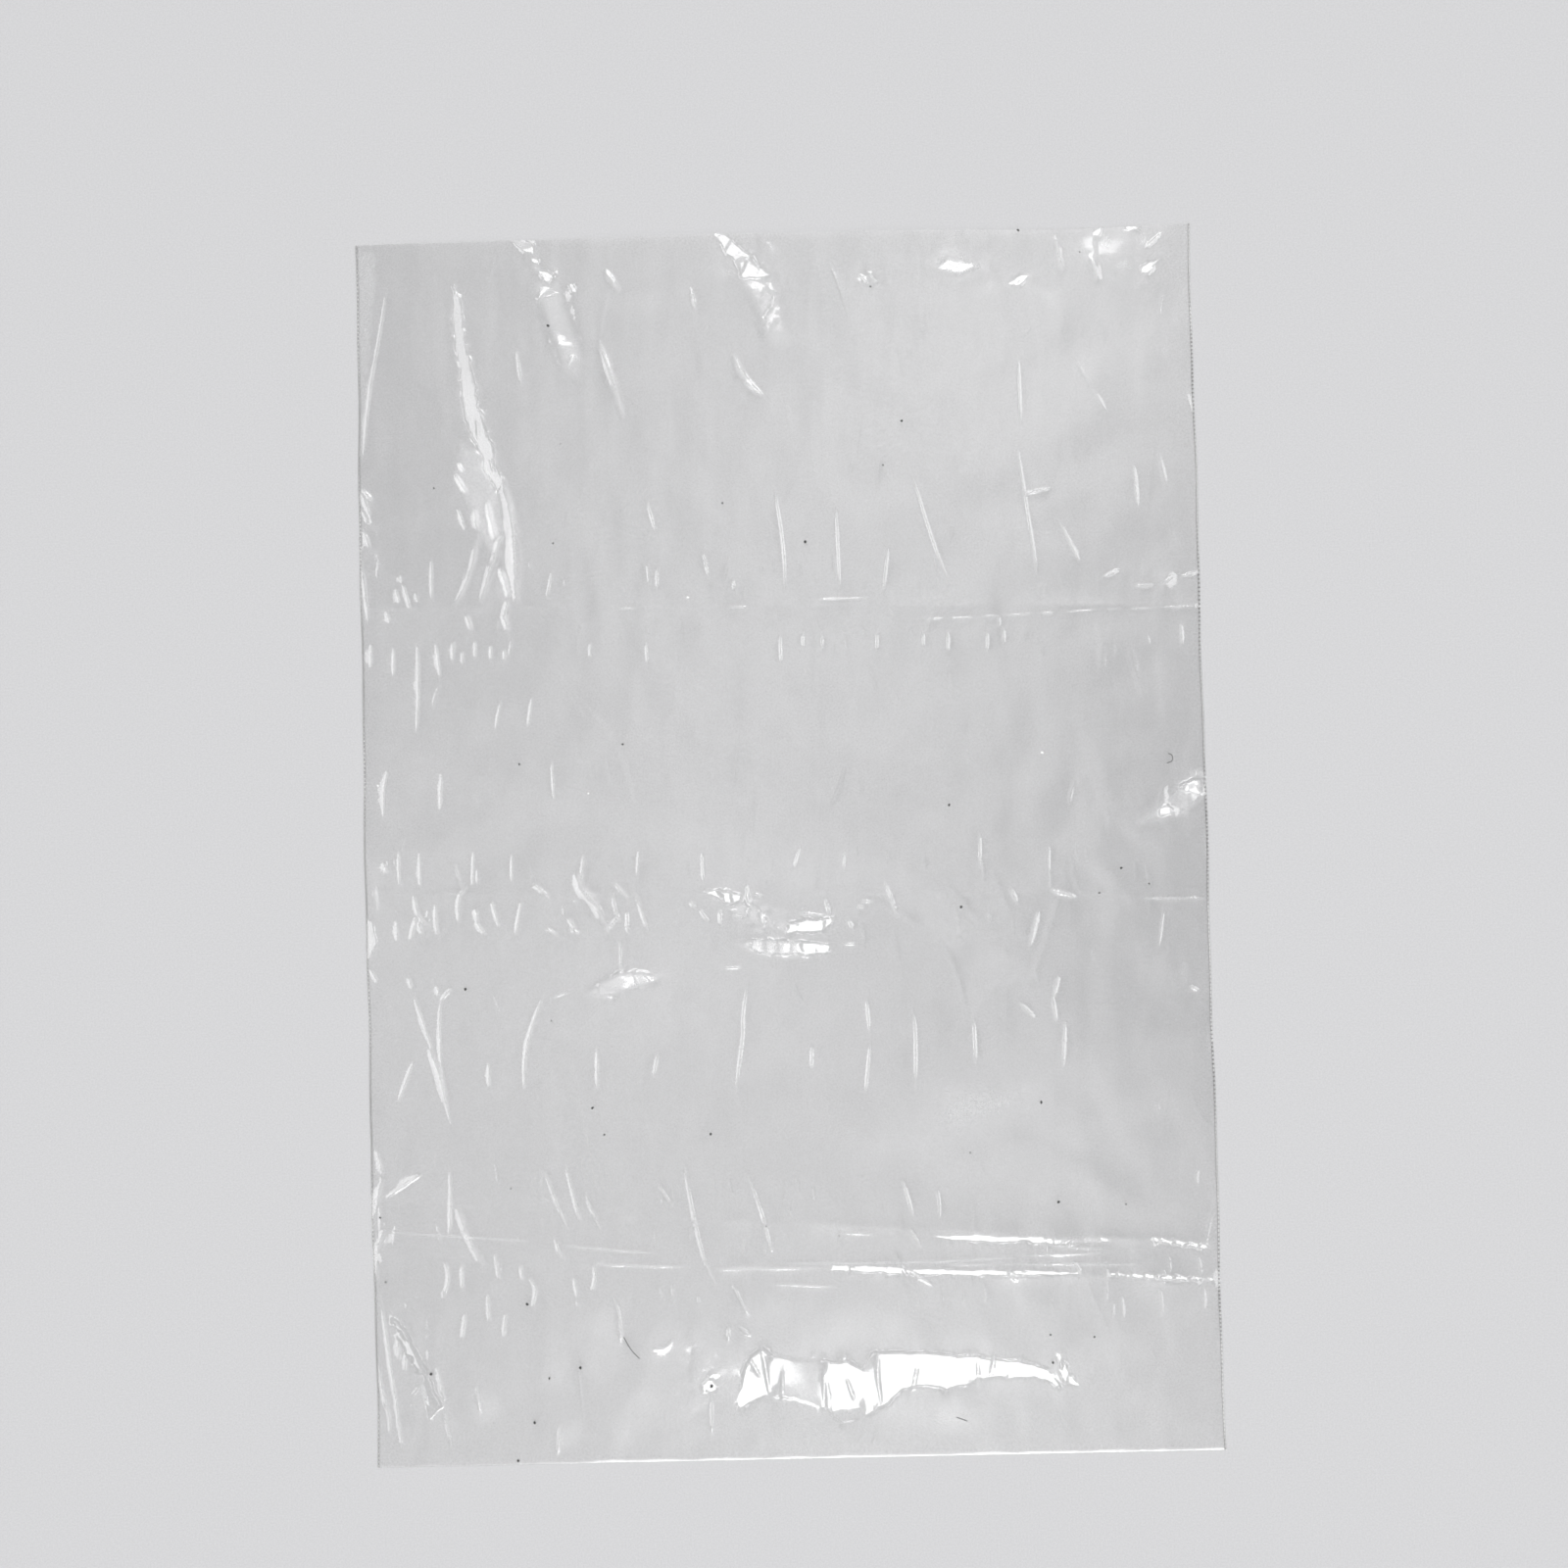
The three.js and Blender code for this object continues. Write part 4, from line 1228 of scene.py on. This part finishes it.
def make_ply(name, surface, wrinkles, fine, turned, mouth):
    """One ply: its points are joined to triangles while flat, then laid on the surface.

    Below the turn's start the film follows a half circle, from its own height down to
    the back ply's. The mouth's edge hangs down a little.
    """
    points = film_points(wrinkles, fine, turned)
    made, _, corners = delaunay_2d_cdt([Vector(point) for point in points], [], [], 0, MERGED)[:3]
    flat = np.array([point[:] for point in made])
    order = np.argsort(flat[:, 1], kind="stable")
    place = np.empty(len(order), int)
    place[order] = np.arange(len(order))
    faces = place[np.array(corners)]
    x, along = flat[order].T
    y = np.maximum(along, TURN_START)
    z, mark = surface(x, y)
    angle = (y - along) / TURN_RADIUS
    radius = np.where(angle > 0, (z - BACK_HEIGHT) / 2, 0)
    z = z - radius + radius * np.cos(angle)
    drop = mouth_drop(x, mouth) * smoothstep(y, HALF_LENGTH - MOUTH_STRETCH, HALF_LENGTH)
    y = y - radius * np.sin(angle) - drop
    uv = np.column_stack([(x + HALF_WIDTH) / LENGTH, (along + HALF_LENGTH) / LENGTH])
    return make_mesh(name, np.column_stack([x + edge_shift(x, y), y, z]), faces, uv, mark)


def mouth_drop(x, mouth):
    """How far a ply's edge hangs down at the mouth: lower towards the right, and wavy."""
    sag = mouth["sag"] * np.exp(-(((x - mouth["at"]) / mouth["reach"]) ** 2))
    return sag + mouth["wave"] * np.sin(x / mouth["length"]) + mouth["rest"]


class Value:
    """A shader socket that takes part in Python sums, each of which adds a Math node."""

    def __init__(self, graph, socket):
        self.graph, self.socket = graph, socket

    def _math(self, operation, *values):
        return self.graph.node("ShaderNodeMath", {"operation": operation}, dict(enumerate(values)))

    def __add__(self, other):
        return self._math("ADD", self, other)

    def __sub__(self, other):
        return self._math("SUBTRACT", self, other)

    def __rsub__(self, other):
        return self._math("SUBTRACT", other, self)

    def __mul__(self, other):
        return self._math("MULTIPLY", self, other)

    def __truediv__(self, other):
        return self._math("DIVIDE", self, other)

    def __pow__(self, other):
        return self._math("POWER", self, other)

    def clamped(self):
        return self.graph.node("ShaderNodeClamp", {}, {"Value": self})

    __radd__, __rmul__ = __add__, __mul__


class Graph:
    """The nodes of one material or world."""

    def __init__(self, owner):
        owner.use_nodes = True
        self.tree = owner.node_tree
        self.tree.nodes.clear()

    def node(self, kind, settings, inputs, output=0):
        """Adds a node: settings first, then the values or links of its sockets."""
        made = self.tree.nodes.new(kind)
        for key, value in settings.items():
            setattr(made, key, value)
        for key, value in inputs.items():
            if isinstance(value, Value):
                self.tree.links.new(value.socket, made.inputs[key])
            else:
                made.inputs[key].default_value = value
        return Value(self, made.outputs[output]) if made.outputs else None

    def noise(self, place, scale, detail):
        inputs = {"Vector": place, "Scale": scale, "Detail": detail}
        return self.node("ShaderNodeTexNoise", {}, inputs)

    def towards(self, way, to):
        """How closely a direction points to another: their dot product, or nothing."""
        settings = {"operation": "DOT_PRODUCT"}
        return self.most(self.node("ShaderNodeVectorMath", settings, {0: way, 1: to}, "Value"), 0.0)

    def most(self, one, other):
        return self.node("ShaderNodeMath", {"operation": "MAXIMUM"}, {0: one, 1: other})

    def stretched(self, place, scale):
        return self.node("ShaderNodeMapping", {}, {"Vector": place, "Scale": scale})


# Grain in the film, in waves for each metre along X, Y and Z: fine crinkle, wider crinkle
# with its height beside the fine one's, specks, and wide milky clouds
FINE_GRAIN = (900, 260, 1)
WIDE_GRAIN = (180, 90, 1)
WIDE_GRAIN_HEIGHT = 2.5
SPECKLE_SCALE = 1400.0
CLOUD_GRAIN = (14, 22, 1)
MILK_ROUGHNESS = 0.5


def film_material(name, settings):
    """Thin clear film: it lets light through, reflects more at a low angle, and is milky.

    It is more so where a wrinkle or a crease has whitened it, which is partly a painted
    highlight, and where highlights and reflections are painted in. With g the gloss and f how
    far the film faces away, the share that it mirrors is g + (1 - g) f^5.
    """
    material = bpy.data.materials.new(name)
    graph = Graph(material)
    place = graph.node("ShaderNodeTexCoord", {}, {}, "Object")
    fine = graph.noise(graph.stretched(place, FINE_GRAIN), 1.0, 3.0)
    wide = graph.noise(graph.stretched(place, WIDE_GRAIN), 1.0, 2.0)
    speckle = graph.noise(place, SPECKLE_SCALE, 1.0)
    height = fine + wide * WIDE_GRAIN_HEIGHT
    bump = graph.node(
        "ShaderNodeBump",
        {},
        {"Strength": 1.0, "Distance": settings.crinkle * MM, "Height": height},
        "Normal",
    )
    facing = graph.node("ShaderNodeLayerWeight", {}, {"Blend": 0.5, "Normal": bump}, "Facing")
    mirror = settings.gloss + (1 - settings.gloss) * facing**5
    # Whitening of creases and wrinkles, with painted highlights, read from the mesh
    whitened_and_highlighted = graph.node("ShaderNodeAttribute", {"attribute_name": "whitened_and_highlighted"}, {}, "Fac")
    cloud = graph.noise(graph.stretched(place, CLOUD_GRAIN), 1.0, 3.0)
    uneven = (cloud - 0.5) * settings.cloud + (speckle - 0.5) * settings.speckle
    milky = (settings.haze + whitened_and_highlighted * settings.whitening + uneven).clamped()
    through = graph.node("ShaderNodeBsdfTransparent", {}, {"Color": (*settings.tint, 1)})
    milk = graph.node(
        "ShaderNodeBsdfPrincipled",
        {},
        {"Base Color": (*settings.milk, 1), "Roughness": MILK_ROUGHNESS, "Normal": bump},
    )
    shine = graph.node(
        "ShaderNodeBsdfGlossy",
        {},
        {"Color": (1, 1, 1, 1), "Roughness": settings.roughness, "Normal": bump},
    )
    body = graph.node("ShaderNodeMixShader", {}, {0: milky, 1: through, 2: milk})
    whole = graph.node("ShaderNodeMixShader", {}, {0: mirror, 1: body, 2: shine})
    graph.node("ShaderNodeOutputMaterial", {}, {"Surface": whole})
    return material


def toned_material(name, roughness, solid):
    """A plain finish whose grey is the tone attribute, laid thinly or solid on the film."""
    material = bpy.data.materials.new(name)
    graph = Graph(material)
    tone = graph.node("ShaderNodeAttribute", {"attribute_name": "tone"}, {}, "Color")
    finish = {"Base Color": tone, "Roughness": roughness}
    shader = graph.node("ShaderNodeBsdfPrincipled", {}, finish)
    clear = graph.node("ShaderNodeBsdfTransparent", {}, {})
    mixed = graph.node("ShaderNodeMixShader", {}, {0: solid, 1: clear, 2: shader})
    graph.node("ShaderNodeOutputMaterial", {}, {"Surface": mixed})
    return material


# The floor, in metres: it is seen as lit up to here and fades to an even tone over the next
# stretch. Its grain: waves for each metre, paler and darker tone, and contrast
FLOOR_REACH = 6.0
FLOOR_LIT = 0.6
FLOOR_FADE = 1.4
FAR_FLOOR = (0.66, 0.66, 0.67)
FLOOR_ROUGHNESS = 0.9
GROUND_SCALE = 1600.0
GROUND_TONES = (0.91, 1.09)
GROUND_CONTRAST = 1.2


def ground_material(name, color):
    """A pale matt floor with a very faint grain, which far away is seen in an even tone."""
    material = bpy.data.materials.new(name)
    graph = Graph(material)
    place = graph.node("ShaderNodeTexCoord", {}, {}, "Object")
    grain = ((graph.noise(place, GROUND_SCALE, 1.0) - 0.5) * GROUND_CONTRAST + 0.5).clamped()
    darker, paler = ([min(1.0, value * tone) for value in color] for tone in GROUND_TONES)
    mixed = graph.node(
        "ShaderNodeMix", {"data_type": "RGBA"}, {0: grain, 6: (*darker, 1), 7: (*paler, 1)}, 2
    )
    shader = graph.node(
        "ShaderNodeBsdfPrincipled", {}, {"Base Color": mixed, "Roughness": FLOOR_ROUGHNESS}
    )
    away = graph.node("ShaderNodeVectorMath", {"operation": "LENGTH"}, {0: place}, "Value")
    seen = graph.node("ShaderNodeLightPath", {}, {}, "Is Camera Ray")
    even = graph.node("ShaderNodeEmission", {}, {"Color": (*FAR_FLOOR, 1), "Strength": 1.0})
    far = ((away - FLOOR_LIT) / FLOOR_FADE).clamped() * seen
    whole = graph.node("ShaderNodeMixShader", {}, {0: far, 1: shader, 2: even})
    graph.node("ShaderNodeOutputMaterial", {}, {"Surface": whole})
    return material


def amount(name, description, default, **limits):
    """A number setting of nothing or more."""
    return bpy.props.FloatProperty(
        name=name, description=description, default=default, min=0, **limits
    )


def share_of_one(name, description, default):
    """A number setting from nothing to one, as a slider."""
    return amount(name, description, default, max=1, subtype="FACTOR")


def colour(name, description, default):
    """A colour setting."""
    return bpy.props.FloatVectorProperty(
        name=name, description=description, default=default, size=3, subtype="COLOR"
    )


class FilmSettings(bpy.types.PropertyGroup):
    haze: share_of_one("Haze", "Milky share of the film", 0.03)
    gloss: share_of_one("Gloss", "Share of light mirrored straight on", 0.08)
    roughness: share_of_one("Roughness", "Blur of the reflections", 0.09)
    # Milky share at whitened creases and wrinkles and at painted highlights
    whitening: share_of_one("Whitening", "Milky share added at wrinkles", 0.26)
    crinkle: share_of_one("Crinkle", "Height of the finest crinkle, in millimetres", 0.008)
    cloud: share_of_one("Cloud", "Unevenness of the milky share, in wide patches", 0.12)
    speckle: share_of_one("Speckle", "Unevenness of the milky share, in fine grains", 0.2)
    tint: colour("Tint", "Colour that the film lets through", (0.968, 0.968, 0.967))
    milk: colour("Milk", "Colour of the milky share", (0.9, 0.9, 0.91))


class StageSettings(bpy.types.PropertyGroup):
    ground: colour("Ground", "Colour of the floor", (0.583, 0.583, 0.594))
    lamp: amount("Lamp radiance", "Brightness of a soft box", 5.0)
    sky: amount("Sky", "Brightness of the room", 0.15)


class FrontFilm(bpy.types.Operator):
    """Makes the front ply, with the turn of the film at the bottom fold"""

    bl_idname = "film_bag.front_film"
    bl_label = "Front film"

    def execute(self, context):
        settings = context.scene.film_bag_film
        piece = make_ply("front_film", front_surface, FRONT_WRINKLES, True, True, FRONT_MOUTH)
        piece.data.materials.append(film_material("clear film, front", settings))
        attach(piece, BODY)
        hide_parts(NODE)
        return {"FINISHED"}


class BackFilm(bpy.types.Operator):
    """Makes the back ply, which lies on the ground"""

    bl_idname = "film_bag.back_film"
    bl_label = "Back film"

    def execute(self, context):
        settings = context.scene.film_bag_film
        piece = make_ply("back_film", back_surface, BACK_WRINKLES, False, False, BACK_MOUTH)
        piece.data.materials.append(film_material("clear film, back", settings))
        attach(piece, BODY)
        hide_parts(NODE)
        return {"FINISHED"}


# Beads of melted film: radius, swell at a mark of the hot knife, pitch of the marks, facts
# of the tube, height of its middle and how flat it is, and what it falls short at the ends
WELD_RADIUS = 0.26
WELD_SWELL = 0.12
WELD_PITCH = 1.45
WELD_SIDES = 8
RINGS_PER_MARK = 4
WELD_HEIGHT = 0.45
WELD_FLATNESS = 0.9
WELD_SHORT = 0.3

# Marks stray by so much over so many millimetres, and their strength is a mean with a wave
MARK_STRAY = (1.5, 9.0)
MARK_STRENGTH = (0.6, 0.4, 13.0)
BETWEEN_MARKS = 0.3
MELTED = {"roughness": 0.35, "solid": 0.55}

# Shades of the welds: at marks, between them, and a painted highlight where a weld catches
# the light, which is listed as stretches of distance above the bag's middle. The left weld's
# pale marks are painted highlights too
LEFT_WELD_SHADES_AND_HIGHLIGHTS = {"mark": 0.95, "between": 0.45, "bright": 0.95}
RIGHT_WELD_SHADES = {"mark": 0.08, "between": 0.72, "bright": 0.9}
RIGHT_WELD_BRIGHT = ((-85, -25), (-152, -128), (-214, -170), (172, 190))


class SideWelds(bpy.types.Operator):
    """Makes the beads of melted film along both sides"""

    bl_idname = "film_bag.side_welds"
    bl_label = "Side welds"

    def execute(self, context):
        material = toned_material("melted film", **MELTED)
        welds = (
            ("left_weld", -1, LEFT_WELD_SHADES_AND_HIGHLIGHTS, ()),
            ("right_weld", 1, RIGHT_WELD_SHADES, RIGHT_WELD_BRIGHT),
        )
        for name, side, shades, bright in welds:
            piece = make_weld(name, side, shades, bright)
            piece.data.materials.append(material)
            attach(piece, BODY)
            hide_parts(NODE)
        return {"FINISHED"}


def make_weld(name, side, shades, bright):
    """A bead whose radius and shade change at each mark of the hot knife, with painted highlights.

    Its radius along the bag is r + s cos(2 pi y / p), where the marks stray a little and
    s changes slowly. It follows the bag's edge just inside it, and is closed at both ends.
    """
    count = int(LENGTH / WELD_PITCH * RINGS_PER_MARK)
    y = np.linspace(WELD_SHORT - HALF_LENGTH, HALF_LENGTH - WELD_SHORT, count)
    random = np.random.default_rng(SEEDS["welds"] + side)
    marks = np.cos(2 * np.pi * y / WELD_PITCH + MARK_STRAY[0] * np.sin(y / MARK_STRAY[1]))
    mean, wave, length = MARK_STRENGTH
    strength = mean + wave * np.sin(y / length + random.uniform(*PHASES))
    radius = WELD_RADIUS + WELD_SWELL * marks * strength
    # At the marks the left weld is painted white as a highlight, the right weld dark
    added = (shades["mark"] - shades["between"]) * np.clip(marks, 0, 1)
    shade = shades["between"] + added * strength
    # Painted highlights on the stretches where a weld catches the light
    for low, high in bright:
        lit = (y > low) & (y < high) & (marks < BETWEEN_MARKS)
        shade = np.where(lit, shades["bright"], shade)
    angle = np.linspace(0, 2 * np.pi, WELD_SIDES, endpoint=False)
    centre_x = side * (HALF_WIDTH - WELD_RADIUS - WELD_SWELL) + edge_shift(side * HALF_WIDTH, y)
    x = centre_x[:, None] + radius[:, None] * np.cos(angle)
    z = WELD_HEIGHT + WELD_FLATNESS * radius[:, None] * np.sin(angle)
    points = np.column_stack([x.ravel(), np.repeat(y, WELD_SIDES), z.ravel()])
    ring = np.arange(count - 1)[:, None] * WELD_SIDES
    step = np.arange(WELD_SIDES)
    after = (step + 1) % WELD_SIDES
    corners = (ring + step, ring + after, ring + WELD_SIDES + after, ring + WELD_SIDES + step)
    faces = np.stack(corners, axis=-1).reshape(-1, 4)
    piece = make_mesh(name, points, faces, tone=np.repeat(shade, WELD_SIDES))
    close_ends(piece)
    return piece


def close_ends(piece):
    """Fills the open ends of a tube and turns its faces outwards."""
    work = bmesh.new()
    work.from_mesh(piece.data)
    bmesh.ops.holes_fill(work, edges=[e for e in work.edges if e.is_boundary], sides=0)
    bmesh.ops.recalc_face_normals(work, faces=work.faces)
    work.to_mesh(piece.data)
    work.free()


# Dust and lint on the film, in the photograph's frame: specks by their shade, and threads
SPECKS = {
    0.04: [
        (559, 333), (565, 554), (737, 514), (887, 294), (919, 431), (900, 476), (821, 554),
        (636, 759), (531, 779), (968, 822), (1121, 912), (1143, 887), (1172, 903), (980, 926),
        (1062, 1125), (1080, 1227), (547, 1451), (530, 1490), (562, 1405), (594, 1394), (540, 1329),
        (441, 1401), (389, 1241), (727, 1414), (606, 1129), (618, 1156), (726, 1156), (1072, 1362),
        (1117, 1365), (1075, 1391), (1037, 237), (1100, 259), (476, 1008), (443, 497),
    ],
    0.25: [
        (395, 1307), (523, 1211), (857, 1260), (783, 1250), (990, 1176), (1149, 1229), (564, 1040),
        (572, 453),
    ],
    0.95: [(601, 809), (1062, 769), (386, 800), (702, 610)],
}
THREADS = (
    [(977, 1447), (983, 1449), (988, 1451)], [(638, 1363), (645, 1376), (654, 1385)],
    [(1190, 780), (1196, 778), (1196, 772), (1191, 770)],
)
SPECK_SIZES = (0.36, 0.6)
SPECK_CORNERS = 7
SPECK_REACH = (0.6, 1.2)
SPECK_RISE = 0.5
THREAD_SHADE = 0.04
THREAD_RADIUS = 0.12
THREAD_STEP = 0.5
DUST_LIFT = 0.12
DUST_ROUGHNESS = 0.8


class Dust(bpy.types.Operator):
    """Makes the specks of dust and the threads of lint that lie on the film"""

    bl_idname = "film_bag.dust"
    bl_label = "Dust"

    def execute(self, context):
        piece = make_dust()
        piece.data.materials.append(toned_material("dust", DUST_ROUGHNESS, 1.0))
        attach(piece, BODY)
        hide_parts(NODE)
        return {"FINISHED"}


def film_height(places):
    """Height of the front ply at a few places."""
    order = np.argsort(places[:, 1], kind="stable")
    height = np.empty(len(places))
    height[order] = front_surface(*places[order].T)[0]
    return height


def make_dust():
    """Specks are low open pyramids with uneven corners, threads are thin flat strips."""
    random = np.random.default_rng(SEEDS["dust"])
    points, faces, tones = [], [], []
    for shade, places in SPECKS.items():
        centres = on_bag(places)
        for centre, height in zip(centres, film_height(centres)):
            size = random.uniform(*SPECK_SIZES)
            angle = np.linspace(0, 2 * np.pi, SPECK_CORNERS, endpoint=False)
            angle += random.uniform(*PHASES)
            reach = size * random.uniform(*SPECK_REACH, SPECK_CORNERS)
            first = len(points)
            foot = height + DUST_LIFT
            for turn, away in zip(angle, reach):
                x, y = centre[0] + away * np.cos(turn), centre[1] + away * np.sin(turn)
                points.append((x, y, foot))
            points.append((*centre, foot + SPECK_RISE * size))
            tip = first + SPECK_CORNERS
            for i in range(SPECK_CORNERS):
                faces.append((first + i, first + (i + 1) % SPECK_CORNERS, tip))
            tones += [shade] * (SPECK_CORNERS + 1)
    for thread in THREADS:
        course = rounded(on_bag(thread))
        sides = [beside(course, [side * THREAD_RADIUS], THREAD_STEP) for side in (-1, 1)]
        count = len(sides[0])
        first = len(points)
        for side in sides:
            for place, height in zip(side, film_height(side)):
                points.append((*place, height + DUST_LIFT))
        for i in range(first, first + count - 1):
            faces += [(i, i + count + 1, i + count), (i, i + 1, i + count + 1)]
        tones += [THREAD_SHADE] * (2 * count)
    return make_mesh("dust", np.array(points), np.array(faces), tone=np.array(tones))


def make_camera():
    """Looks down on the bag from a little towards its bottom and its right side."""
    back = Vector((math.sin(CAMERA_LEAN_RIGHT), -math.sin(CAMERA_LEAN_BACK), 0))
    back.z = math.sqrt(1 - back.length_squared)
    up = Vector((0, 1, 0))
    up = (up - back * up.dot(back)).normalized()
    right = up.cross(back)
    rolled_up = up * math.cos(CAMERA_ROLL) + right * math.sin(CAMERA_ROLL)
    rolled_right = rolled_up.cross(back)
    data = bpy.data.cameras.new("camera")
    data.lens, data.sensor_width = LENS, SENSOR
    data.clip_start, data.clip_end = 0.01, 100
    camera = bpy.data.objects.new("camera", data)
    turn = Matrix((rolled_right, rolled_up, back)).transposed().to_4x4()
    place = (Vector(CAMERA_AIM) + back * CAMERA_AWAY) * MM
    camera.matrix_world = Matrix.Translation(place) @ turn
    bpy.context.collection.objects.link(camera)
    bpy.context.scene.camera = camera


def make_soft_box(name, radiance):
    """An area lamp of a given brightness that faces the bag.

    Its power is radiance times pi times its area.
    """
    east, north, wide, deep, share = SOFT_BOXES[name]
    width, depth = (2 * BOX_AWAY * math.tan(math.radians(angle / 2)) for angle in (wide, deep))
    data = bpy.data.lights.new(name, "AREA")
    data.shape, data.size, data.size_y = "RECTANGLE", width, depth
    data.energy = radiance * share * math.pi * width * depth
    lamp = bpy.data.objects.new(name, data)
    back = Vector(way_to(east, north))
    right = Vector((0, 1, 0)).cross(back).normalized()
    turn = Matrix((right, back.cross(right), back)).transposed().to_4x4()
    lamp.matrix_world = Matrix.Translation(back * BOX_AWAY) @ turn
    bpy.context.collection.objects.link(lamp)


def make_world(settings):
    """A pale room, brighter overhead and towards the bag's bottom than elsewhere."""
    world = bpy.data.worlds.new("room")
    bpy.context.scene.world = world
    graph = Graph(world)
    way = graph.node("ShaderNodeTexCoord", {}, {}, "Generated")
    level = settings.sky
    for east, north, brightness, tightness in ROOM_PATCHES.values():
        level = graph.towards(way, way_to(east, north)) ** tightness * brightness + level
    cloud = graph.noise(way, ROOM_CLOUD_SCALE, 3.0)
    level = graph.most(level * (ROOM_LEAST + cloud * ROOM_CLOUDS), 0.0)
    seen = graph.node("ShaderNodeLightPath", {}, {}, "Is Camera Ray")
    shown = level * (1 - seen) + seen * ROOM_SEEN
    room = graph.node("ShaderNodeBackground", {}, {"Color": (1, 1, 1, 1), "Strength": shown})
    graph.node("ShaderNodeOutputWorld", {}, {"Surface": room})


class Stage(bpy.types.Operator):
    """Makes the floor, the lamps, the room and the camera"""

    bl_idname = "film_bag.stage"
    bl_label = "Stage"

    def execute(self, context):
        settings = context.scene.film_bag_stage
        corners = np.array([(-1, -1, 0), (1, -1, 0), (1, 1, 0), (-1, 1, 0)]) * FLOOR_REACH / MM
        floor = make_mesh("floor", corners, np.array([[0, 1, 2, 3]]))
        floor.data.materials.append(ground_material("pale floor", settings.ground))
        for name in SOFT_BOXES:
            make_soft_box(name, settings.lamp)
        make_world(settings)
        make_camera()
        context.scene.view_settings.view_transform = "Standard"
        return {"FINISHED"}


class FilmBagPanel(bpy.types.Panel):
    """Lists the bag's pieces in the 3D view's sidebar"""

    bl_idname = "VIEW3D_PT_film_bag"
    bl_label = "Film bag"
    bl_space_type = "VIEW_3D"
    bl_region_type = "UI"
    bl_category = "Film bag"

    def draw(self, context):
        for settings in (context.scene.film_bag_film, context.scene.film_bag_stage):
            for key in settings.__annotations__:
                self.layout.prop(settings, key)
        for operator in OPERATORS:
            self.layout.operator(operator.bl_idname)


OPERATORS = (FrontFilm, BackFilm, SideWelds, Dust, Stage)
CLASSES = (FilmSettings, StageSettings, *OPERATORS, FilmBagPanel)


def register():
    for cls in CLASSES:
        bpy.utils.register_class(cls)
    bpy.types.Scene.film_bag_film = bpy.props.PointerProperty(type=FilmSettings)
    bpy.types.Scene.film_bag_stage = bpy.props.PointerProperty(type=StageSettings)


def unregister():
    del bpy.types.Scene.film_bag_film
    del bpy.types.Scene.film_bag_stage
    for cls in reversed(CLASSES):
        bpy.utils.unregister_class(cls)


def main():
    register()
    for operator in OPERATORS:
        group, name = operator.bl_idname.split(".")
        getattr(getattr(bpy.ops, group), name)()
    bpy.context.view_layer.update()


if __name__ == "__main__":
    main()
